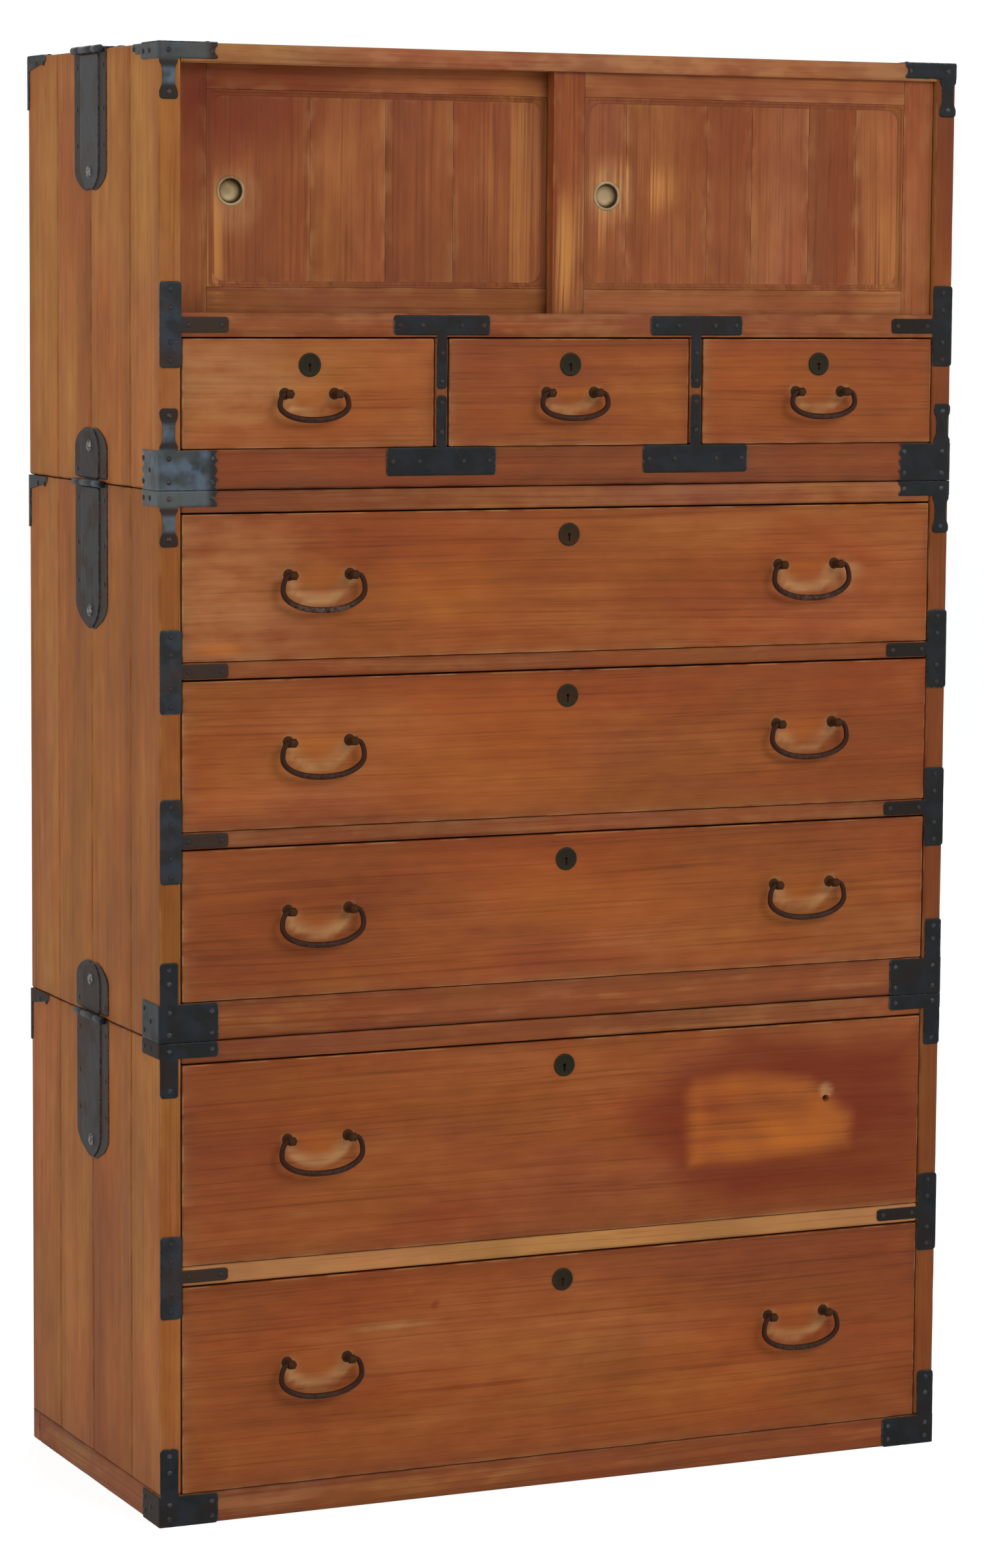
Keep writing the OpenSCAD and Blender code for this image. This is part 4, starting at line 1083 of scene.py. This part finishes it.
SPOTS = {
    "left_door": [
        (STAIN_AND_SHADE, 0.2, 0.85, 0.3, 0.25, 0.6), (STAIN_AND_SHADE, 0.06, 0.75, 0.08, 0.4, 0.35),
        # The stain at the right end of the left door is painted shadow of the right door, which overlaps it.
        (STAIN_AND_SHADE, 0.97, 0.5, 0.05, 0.9, 0.4), (BARE, 0.1, 0.28, 0.035, 0.3, 0.9),
        (RUB_AND_HIGHLIGHT, 0.15, 0.45, 0.07, 0.16, 0.4), (BARE, 0.85, 0.5, 0.1, 0.6, 0.35),
    ],
    "right_door": [
        (BARE, 0.03, 0.25, 0.035, 0.3, 0.9), (BARE, 0.11, 0.42, 0.06, 0.2, 0.8),
        (BARE, 0.21, 0.52, 0.13, 0.14, 0.9), (RUB_AND_HIGHLIGHT, 0.14, 0.5, 0.07, 0.16, 0.5),
        (BARE, 0.86, 0.25, 0.09, 0.3, 0.35), (STAIN_AND_SHADE, 0.42, 0.8, 0.2, 0.3, 0.3),
        (STAIN_AND_SHADE, 0.76, 0.5, 0.05, 0.7, 0.35),
    ],
    "top_left": [(STAIN_AND_SHADE, 0.85, 0.6, 0.2, 0.5, 0.15), (RUB_AND_HIGHLIGHT, 0.2, 0.55, 0.4, 0.6, 0.3)],
    "top_centre": [(STAIN_AND_SHADE, 0.1, 0.5, 0.2, 0.9, 0.2)],
    "top_right": [(STAIN_AND_SHADE, 0.85, 0.7, 0.25, 0.5, 0.25), (BARE, 0.2, 0.6, 0.2, 0.4, 0.25)],
    "middle_upper": [
        (BARE, 0.045, 0.08, 0.04, 0.07, 0.9), (BARE, 0.33, 0.5, 0.12, 0.5, 0.3),
        (RUB_AND_HIGHLIGHT, 0.06, 0.5, 0.14, 0.9, 0.25), (RUB_AND_HIGHLIGHT, 0.88, 0.5, 0.035, 0.15, 0.5),
        (STAIN_AND_SHADE, 0.62, 0.3, 0.12, 0.4, 0.2),
    ],
    "middle_centre": [(STAIN_AND_SHADE, 0.92, 0.5, 0.12, 0.9, 0.3), (BARE, 0.4, 0.5, 0.2, 0.6, 0.25)],
    "middle_lower": [(STAIN_AND_SHADE, 0.1, 0.3, 0.12, 0.5, 0.2), (BARE, 0.55, 0.6, 0.2, 0.5, 0.25)],
    "base_upper": [
        (STAIN_AND_SHADE, 0.06, 0.6, 0.12, 0.8, 0.3), (STAIN_AND_SHADE, 0.4, 0.2, 0.2, 0.3, 0.15),
        (RUB_AND_HIGHLIGHT, 0.16, 0.22, 0.07, 0.012, 0.25),
    ],
    "base_lower": [
        (STAIN_AND_SHADE, 0.94, 0.5, 0.1, 0.9, 0.3), (RUB_AND_HIGHLIGHT, 0.27, 0.72, 0.07, 0.013, 0.45),
        (STAIN_AND_SHADE, 0.33, 0.8, 0.008, 0.02, 1.0), (BARE, 0.7, 0.3, 0.15, 0.4, 0.2),
    ],
}

# The patch left bare by the lost bail's plate, and the stain round it, as outlines in x and z
PATCH = ((167, 452), (238, 456), (311, 444), (367, 401), (367, 364), (163, 358), (159, 438))
STAIN_EDGE = ((101, 420), (160, 470), (238, 498), (447, 485), (462, 394), (450, 310), (215, 310), (158, 337))


def blot(points, centre, size):
    """How far inside an oval the points are, as the distance from its middle: 1 is its edge."""
    return np.linalg.norm((points[:, XZ] - centre) / size, axis=1)


def add_spots(marks, points, name, lo, hi, uneven=0.0, inner=0.35):
    """Adds the marks of a door or front to its points."""
    for kind, u, v, du, dv, strength in SPOTS[name]:
        near = blot(points, lo[XZ] + (hi - lo)[XZ] * (u, v), (hi - lo)[XZ] * (du, dv))
        marks[:, kind] += strength * (1 - smooth_step(near + uneven, inner, 1.1))


# Doors

# Widths and tones of the planks of the panels
DOOR_PLANKS = {
    "left_door": ((0.30, 0.22, 0.20, 0.28), (-0.04, 0.04, -0.1, 0.1)),
    "right_door": ((0.13, 0.25, 0.14, 0.18, 0.15, 0.15), (0.16, -0.02, -0.14, 0.24, -0.3, 0.0)),
}

# The moulding round a panel: how far in and how deep its rings lie, and those that are painted darker
MOULD_RINGS = ((0.15, 0.5), (1.6, 0.3), (2.6, 0.9), (3.4, 1.6), (4.6, 1.5))
DARKENED_RINGS = (2, 3, 5)


def rounded_ring(lo, hi, inset, y):
    """A level of the moulding: a rectangle in x and z with round corners and divided sides."""
    radius = max(0.4, MOULD_R * (inset / MOULD_W) ** 1.2)
    ring = []
    for sx, sz, start in ((1, 1, 0), (-1, 1, 90), (-1, -1, 180), (1, -1, 270)):
        x = end_of(lo, hi, X, sx) - sx * (inset + radius)
        z = end_of(lo, hi, Z, sz) - sz * (inset + radius)
        for angle in np.radians(start + np.linspace(0, 90, MOULD_ARC)):
            ring.append((x + radius * math.cos(angle), y, z + radius * math.sin(angle)))
    return divided(ring, lambda i, length: 1 if (i + 1) % MOULD_ARC else MOULD_SPLIT)


def build_door(side, seed):
    shell = Shell(side + "_door")
    whole = span(shell.node)
    boxes = solids(shell.node)
    cup_lo, cup_hi = span(shell.node + "_cup")
    cup = (cup_lo + cup_hi) / 2

    def paint(marks, points, lo, hi):
        add_spots(marks, points, shell.node, *whole)

    thin = min(range(len(boxes)), key=lambda i: boxes[i][1][Y] - boxes[i][0][Y])
    for i, (lo, hi) in enumerate(boxes):
        if i != thin:
            along, across = (Z, X) if hi[Z] - lo[Z] > hi[X] - lo[X] else (X, Z)
            add_board(shell, lo, hi, along, across, seed + i, step=FRAME_STEP, paint=paint, dirt=0.3,
                      radius=FRAME_EDGE_R)
    lo, hi = boxes[thin]
    hole_r = (cup_hi[X] - cup_lo[X]) / 2 - CUP_RIM + PIN_PLAY
    shares, tones = DOOR_PLANKS[shell.node]
    for k, (a, b) in enumerate(planks(lo, hi, X, shares, PANEL_SEAM)):
        cutters = []
        if a[X] - hole_r < cup[X] < b[X] + hole_r:
            cutters = [turned([(hole_r, -30), (hole_r, 30)], cup, Y, 36)]
        add_board(shell, a, b, Z, X, seed + 50 + k, tones[k], step=PANEL_STEP, cutters=cutters, paint=paint,
                  dirt=0.15, radius=PANEL_EDGE_R)
    face = min(box[0][Y] for box in boxes)
    mould = MOULD_RINGS + ((MOULD_W, lo[Y] - face - 0.05), )
    rings = [rounded_ring(lo, hi, inset, face + down) for inset, down in mould]
    points, faces = loft(rings, closed=True)
    grain, marks, wear = board_values(points, lo, hi, Z, X, seed + 80)
    wear[:] = (0.0, -0.1, 0.2)
    wear[np.isin(np.arange(len(points)) // len(rings[0]), DARKENED_RINGS), 2] = 1.0
    paint(marks, points, lo, hi)
    shell.add(points, faces, grain, marks, wear)
    shell.finish()


def build_cup(side):
    """A pressed finger cup: a soft bowl with a rolled rim."""
    shell = Shell(side + "_door_cup")
    lo, hi = span(shell.node)
    outer = (hi[X] - lo[X]) / 2
    hollow = outer - CUP_RIM - 1.0
    face = lo[Y] + 0.5
    depth = hi[Y] - face
    # Radius and depth, then how worn, how brown, and how dark with painted shade it is there
    levels = (
        (0.2, depth - 1.0, 0.0, 0.0, 0.0),
        (hollow * 0.45, depth - 1.05, 0.0, 0.0, 0.0),
        (hollow * 0.75, depth - 1.5, 0.0, 0.2, 0.15),
        (hollow * 0.93, depth - 2.9, 0.0, 0.6, 0.5),
        (hollow * 0.985, depth * 0.35, 0.0, 0.8, 0.65),
        (hollow, 0.3, 0.0, 0.6, 0.4),
        (hollow + 0.5, -0.3, 0.6, 0.2, 0.05),
        (hollow + 1.4, -0.5, 0.8, 0.1, 0.0),
        (outer - 0.8, -0.35, 0.6, 0.2, 0.0),
        (outer, 0.0, 0.3, 0.5, 0.2),
        (hollow + 1.0, 0.02, 0.0, 0.0, 0.0),
        (hollow + 1.0, depth * 0.6, 0.0, 0.0, 0.0),
        (hollow * 0.9, depth - 0.6, 0.0, 0.0, 0.0),
        (0.2, depth, 0.0, 0.0, 0.0),
    )
    middle = (lo + hi) / 2
    points, faces = turned([level[:2] for level in levels], (middle[X], face, middle[Z]), Y, 40)
    edge, tone, dark = np.repeat([level[2:] for level in levels], 40, axis=0).T
    # The darkness of the bowl's wall is painted shade, given as pallor below zero.
    shell.metal(points, faces, edge, tone, -dark)
    shell.finish()


# Drawers

FRONT_TONES = {
    "top_left": 0.26, "top_centre": -0.02, "top_right": -0.16, "middle_upper": 0.06, "middle_centre": -0.1,
    "middle_lower": -0.08, "base_upper": 0.0, "base_lower": -0.06,
}
BOTTOM_SHARES = (1.0, 1.2, 0.9)
# Strength of the painted highlight along the bottom of each bail's bar; 0.2 for the others
BAIL_HIGHLIGHT = {"middle_upper_left_bail": 0.7, "middle_upper_right_bail": 0.4}

# What tells the solids of a drawer apart: the lock's width, and the thickness of keyhole plate and bottom
LOCK_MIN_W = 40.0
DISC_MAX_T = 5.0
BOTTOM_MAX_T = 12.0


def keyhole(middle, y0, y1):
    """A cutter for a keyhole: a round hole with a slot below it."""
    start = math.asin(KEY_SLOT_HALF / KEY_R)
    angles = np.linspace(start, 2 * math.pi - start, 15) - math.pi / 2
    outline = [(KEY_R * math.cos(angle), KEY_R * math.sin(angle)) for angle in angles]
    outline = [(KEY_SLOT_HALF, -KEY_SLOT_H), *outline, (-KEY_SLOT_HALF, -KEY_SLOT_H)]
    return loft([[(middle[X] + x, y, middle[Z] + z) for x, z in outline] for y in (y0, y1)])


def depth_in(points, outline):
    """How deep points lie inside an outline in x and z; outside, it is less than zero."""
    flat = points[:, XZ]
    inside = np.zeros(len(flat), bool)
    nearest = np.full(len(flat), 1e9)
    for start, end in zip(np.roll(outline, 1, axis=0), outline):
        way = np.subtract(end, start)
        off = flat - start
        share = np.clip(off @ way / (way @ way), 0, 1)
        nearest = np.minimum(nearest, np.linalg.norm(off - share[:, None] * way, axis=1))
        crosses = (start[1] > flat[:, 1]) != (end[1] > flat[:, 1])
        inside ^= crosses & (off[:, 0] < off[:, 1] / (way[1] or 1e-9) * way[0])
    return np.where(inside, nearest, -nearest)


def paint_front(drawer, bails, holes):
    """Marks of a drawer front: rubbed wood inside the bails, a painted highlight along its left and bottom
    edges, and the lost bail's stain.
    """
    def paint(marks, points, lo, hi):
        x, z = points[:, X], points[:, Z]
        add_spots(marks, points, drawer, lo, hi, 0.15 * wobble(points, 60, 3), 0.3)
        for b_lo, b_hi in bails:
            size = (b_hi - b_lo)[XZ] * (0.5, 1) - 7
            near = blot(points, ((b_lo[X] + b_hi[X]) / 2, b_hi[Z]), size)
            below = smooth_step(z - b_hi[Z], 6, -3)
            swept = (1 - smooth_step(near, 0.9, 1.05)) * smooth_step(near, 0.45, 0.9)
            marks[:, RUB_AND_HIGHLIGHT] += 0.75 * swept * below
            marks[:, BARE] += 0.4 * (1 - smooth_step(near, 0.4, 0.9)) * below
        # Painted highlight along the left and bottom edges of the front.
        marks[:, RUB_AND_HIGHLIGHT] += 0.35 * np.exp((lo[X] - x) / 6) + 0.25 * np.exp((lo[Z] - z) / 4)
        for hole_x, hole_z in holes:
            marks[:, RUB_AND_HIGHLIGHT] += 0.9 * (1 - smooth_step(blot(points, (hole_x, hole_z + 10), (12, 10)), 0.3, 1.1))
            uneven = 4 * wobble(points[:, XZ], 80, 5)
            inside = depth_in(points, PATCH) + uneven
            bare = smooth_step(inside, -13, 13)
            stain = smooth_step(depth_in(points, STAIN_EDGE) + 2 * uneven, -34, 26)
            low = smooth_step(z + uneven, 420, 385)
            near_edge = smooth_step(inside, 30, 8)
            mottled = 0.3 * wobble(points[:, XZ], 55, 8)
            faded = 1 - 0.5 * smooth_step(x, 310, 360)
            marks[:, BARE] += bare * faded * np.clip(0.32 + mottled + 0.36 * low + 0.3 * near_edge, 0, 1)
            marks[:, STAIN_AND_SHADE] += 0.95 * stain * (1 - bare) + 0.3 * bare * (1 - low) * (1 - near_edge)
    return paint


def ironwork_parts(drawer):
    """Boxes of the posts, of the keyhole plate and of the lock of a drawer."""
    boxes = solids(drawer + "_drawer_ironwork")
    lock = next(box for box in boxes if (box[1] - box[0])[X] > LOCK_MIN_W)
    disc = next(box for box in boxes if box is not lock and (box[1] - box[0])[Y] < DISC_MAX_T)
    return [box for box in boxes if box is not lock and box is not disc], disc, lock


def build_front(drawer, bails, seed):
    shell = Shell(drawer + "_drawer_front")
    lo, hi = span(shell.node)
    posts, disc, lock = ironwork_parts(drawer)
    cutters = [keyhole(sum(disc) / 2, lo[Y] - 5, hi[Y] + 5)]
    places = [sum(post) / 2 for post in posts]
    holes = [(-min(p[X] for p in places), places[0][Z])] if drawer == LOST_POST else []
    bore = SHANK_R + PIN_PLAY
    torn = [(TORN_R, -9), (TORN_R, 0.6), (TORN_R * 0.8, 2.5), (bore, 6), (bore, 40)]
    cutters += [turned([(bore, -9), (bore, 40)], (p[X], lo[Y], p[Z]), Y, 16) for p in places]
    cutters += [turned(torn, (x, lo[Y], z), Y, 16) for x, z in holes]
    paint = paint_front(drawer, [span(bail) for bail in bails], holes)
    add_board(shell, lo, hi, X, Z, seed, FRONT_TONES[drawer], step=FRONT_STEP / 2 if holes else FRONT_STEP,
              cutters=cutters, paint=paint)
    shell.finish(smooth_angle=60)


def build_box(drawer, seed):
    shell = Shell(drawer + "_drawer_box")
    for i, (lo, hi) in enumerate(solids(shell.node)):
        size = hi - lo
        if size[Z] < BOTTOM_MAX_T:
            for k, (a, b) in enumerate(planks(lo, hi, Y, BOTTOM_SHARES, BOTTOM_SEAM)):
                add_board(shell, a, b, X, Y, seed + i * 5 + k, 0.05 * k, radius=BOTTOM_EDGE_R)
        else:
            add_board(shell, lo, hi, X if size[X] > size[Y] else Y, Z, seed + i * 5, radius=BOX_EDGE_R)
    shell.finish()


def build_ironwork(drawer):
    """The posts of the bails with their roses, the keyhole plate and the lock case with its screws."""
    shell = Shell(drawer + "_drawer_ironwork")
    posts, disc, lock = ironwork_parts(drawer)
    for lo, hi in posts:
        reach = lo[Y] + EYE_R
        place = ((lo[X] + hi[X]) / 2, reach, (lo[Z] + hi[Z]) / 2)
        eye = bevelled(PIN_R + PIN_PLAY, EYE_R, -EYE_W / 2, EYE_W / 2, 0.9)
        shell.metal(*turned(eye, place, X, 22, closed=True), edge=0.15, tone=0.8)
        shank = [(SHANK_R * 0.7, EYE_R - 1.6), (SHANK_R, EYE_R - 0.4), (SHANK_R, hi[Y] - reach - 1),
                 (SHANK_R * 0.5, hi[Y] - reach)]
        shell.metal(*turned(shank, place, Y, 14), tone=0.8)
        wood_y = FRONT_Y - reach
        rose = [(SHANK_R, wood_y - ROSE_T), (ROSE_R * 0.55, wood_y - ROSE_T), (ROSE_R * 0.9, wood_y - 0.6),
                (ROSE_R, wood_y - 0.1), (ROSE_R, wood_y), (SHANK_R, wood_y)]
        shell.metal(*turned(rose, place, Y, 22, closed=True), edge=0.1, tone=0.7)
    middle = sum(disc) / 2
    radius = (disc[1][X] - disc[0][X]) / 2
    thick = disc[1][Y] - disc[0][Y]
    levels = ((0.98, 0.0), (1.0, -0.35), (0.95, -0.75), (0.86, -1.0), (0.8, -0.8), (0.5, -0.8))
    profile = [(radius * r, thick * h) for r, h in levels]
    points, faces = cut(*turned(profile, (middle[X], disc[1][Y], middle[Z]), Y, 40),
                        [keyhole(middle, disc[0][Y] - 3, disc[1][Y] + 3)])
    far = np.linalg.norm((points - middle)[:, XZ], axis=1)
    shell.metal(points, faces, edge=0.35 * (far > radius * 0.83))
    shell.metal(*board_form(*lock, step=10, radius=1.2, wear=0.2))
    for s in (-1, 1):
        place = (middle[X] + s * (lock[1][X] - lock[0][X]) * 0.38, lock[1][Y], (lock[0][Z] + lock[1][Z]) / 2)
        shell.metal(*turned([(3.0, -0.5), (3.0, -0.2), (2.0, 0.0)], place, Y, 12), edge=0.4)
    shell.finish()


def build_bail(node, drawer):
    """A forged bail: pins in the posts' eyes, then a bar that swells towards its middle."""
    lo, hi = span(node)
    bar = (hi[Y] - lo[Y]) / 2
    centre = (lo + hi) / 2
    half = (hi[X] - lo[X]) / 2 - bar
    drop = hi[Z] - lo[Z] - 2 * bar
    pin_z = hi[Z] - bar
    post = min(abs((lo[X] + hi[X]) / 2 - centre[X]) for lo, hi in ironwork_parts(drawer)[0])
    shoulder = post + EYE_W / 2 + BAIL_GAP
    pin_end = post - EYE_W / 2 - PIN_END
    start = shoulder + 0.4
    turn_z = -drop * 0.42
    path = [(pin_end, 0, PIN_R * 0.8), (pin_end + 0.4, 0, PIN_R), (shoulder, 0, PIN_R),
            (shoulder + 0.05, 0, bar * 0.8)]
    for k in range(1, 9):
        angle = math.pi / 2 * k / 8
        x = start + (half - start) * math.sin(angle)
        path.append((x, turn_z * (1 - math.cos(angle)), bar * (0.8 + 0.01 * k)))
    for k in range(1, 15):
        angle = math.pi / 2 * k / 14
        z = turn_z - (drop + turn_z) * math.sin(angle)
        path.append((half * abs(math.cos(angle)) ** 0.92, z, bar * (0.88 + 0.12 * math.sin(angle))))
    path[-1] = (0.0, -drop, bar)
    path = np.array(path)
    x, z, radii = np.concatenate([path[:-1] * (-1, 1, 1), path[::-1]]).T
    places = np.stack([centre[X] + x, np.full(len(x), centre[Y]), pin_z + z], axis=1)
    points, faces = tube(places, radii)
    # Painted highlight along the bottom of the bar.
    low = np.clip((pin_z - drop * 0.7 - points[:, Z]) / 10, 0, 1)
    shell = Shell(node)
    shell.metal(points, faces, low * BAIL_HIGHLIGHT.get(node, 0.2))
    shell.finish()


# Every piece

build_boards("base_foot_frame", 11, (-0.1, ))
build_boards("base_boards", 31, (0.9, 0.0, -0.05))
build_boards("middle_boards", 61, (-0.15, ))
build_top_boards(91)
build_boards("top_dividers", 131)
for number, case in enumerate(("base", "middle", "top")):
    build_sides(case, 200 + 100 * number)
    build_back(case, 500 + 60 * number)
    build_irons(case, 800 + 300 * number)
    for side in ("left", "right"):
        build_leaf(case, side, 1700 + 40 * number + (20 if side == "right" else 0))
for number, side in enumerate(("left", "right")):
    build_door(side, 2000 + 200 * number)
    build_cup(side)
for number, drawer in enumerate(sorted(FRONT_TONES)):
    bails = sorted(node for node in frame["nodes"] if node.startswith(drawer) and node.endswith("bail"))
    build_front(drawer, bails, 3000 + 200 * number)
    build_box(drawer, 3030 + 200 * number)
    build_ironwork(drawer)
    for node in bails:
        build_bail(node, drawer)


# Camera, at the photograph's place

IMAGE_H = 2410
FOCAL_PX = 7059.8
CAMERA_AT = Vector((-2.19627, -4.83371, 1.36923))
YAW, PITCH, ROLL = (math.radians(v) for v in (24.4935, -6.3396, -0.4134))

forward = Vector((math.sin(YAW) * math.cos(PITCH), math.cos(YAW) * math.cos(PITCH), math.sin(PITCH)))
level = Vector((math.cos(YAW), -math.sin(YAW), 0.0))
down = forward.cross(level)
right = level * math.cos(ROLL) + down * math.sin(ROLL)
down = down * math.cos(ROLL) - level * math.sin(ROLL)
camera = bpy.data.cameras.new("camera")
camera.sensor_fit = "VERTICAL"
camera.sensor_height = 24.0
camera.lens = FOCAL_PX / IMAGE_H * camera.sensor_height
camera.clip_end = 100.0
view = bpy.data.objects.new("camera", camera)
turn = Matrix((right, -down, -forward)).transposed()
view.matrix_world = Matrix.Translation(CAMERA_AT) @ turn.to_4x4()
bpy.context.scene.collection.objects.link(view)
bpy.context.scene.camera = view


# Studio: soft lamps, and a pale floor and world that are white to the camera

AIM = Vector((0.0, 0.0, 0.8))
FLOOR_HALF = 14.0
FLOOR_SHADOW = 0.3
FLOOR_GLOW = 1.22

for name, place, size, power in (
        ("key", (1.2, -4.4, 3.4), (2.4, 1.8), 98),
        ("fill", (3.8, -2.6, 1.8), (2.2, 2.2), 35),
        ("side", (-4.6, -1.2, 2.2), (2.4, 2.0), 75),
        ("rear", (1.5, 4.6, 2.6), (2.6, 2.0), 60)):
    light = bpy.data.lights.new(name, "AREA")
    light.shape = "RECTANGLE"
    light.size, light.size_y = size
    light.energy = power
    lamp = bpy.data.objects.new(name, light)
    lamp.location = place
    lamp.rotation_euler = (AIM - Vector(place)).to_track_quat("-Z", "Y").to_euler()
    bpy.context.scene.collection.objects.link(lamp)


def seen_share(g):
    """1 for what the camera, a glossy or a transmitted ray sees, else 0."""
    path = g.node("LightPath", {}).outputs
    share = g.math("MAXIMUM", path["Is Camera Ray"], path["Is Glossy Ray"])
    return g.math("MAXIMUM", share, path["Is Transmission Ray"])


world = bpy.data.worlds.new("studio")
bpy.context.scene.world = world
g = Graph(world)
ambient = g.tree.nodes["Background"]
g.feed(ambient, {"Color": (0.94, 0.97, 1.0, 1.0), "Strength": 0.55})
paper = g.node("Background", {"Color": (1.0, 1.0, 1.0, 1.0), "Strength": 1.0})
choice = g.node("MixShader", {0: seen_share(g), 1: ambient.outputs[0], 2: paper.outputs[0]})
g.feed(g.tree.nodes["World Output"], {"Surface": choice.outputs[0]})

corners = [(-FLOOR_HALF, -FLOOR_HALF, 0.0), (FLOOR_HALF, -FLOOR_HALF, 0.0), (FLOOR_HALF, FLOOR_HALF, 0.0),
           (-FLOOR_HALF, FLOOR_HALF, 0.0)]
floor = new_object("floor", corners, [(0, 1, 2, 3)])
floor_look = bpy.data.materials.new("floor")
g = Graph(floor_look)
g.feed(g.shader, {"Base Color": (0.86, 0.86, 0.86, 1.0), "Roughness": 0.9, "Specular IOR Level": 0.1})
glow = g.node("Emission", {"Strength": FLOOR_GLOW})
part = g.times(seen_share(g), 1.0 - FLOOR_SHADOW)
both = g.node("MixShader", {0: part, 1: g.shader.outputs[0], 2: glow.outputs[0]})
g.feed(g.tree.nodes["Material Output"], {"Surface": both.outputs[0]})
floor.data.materials.append(floor_look)

bpy.context.scene.view_settings.view_transform = "Standard"
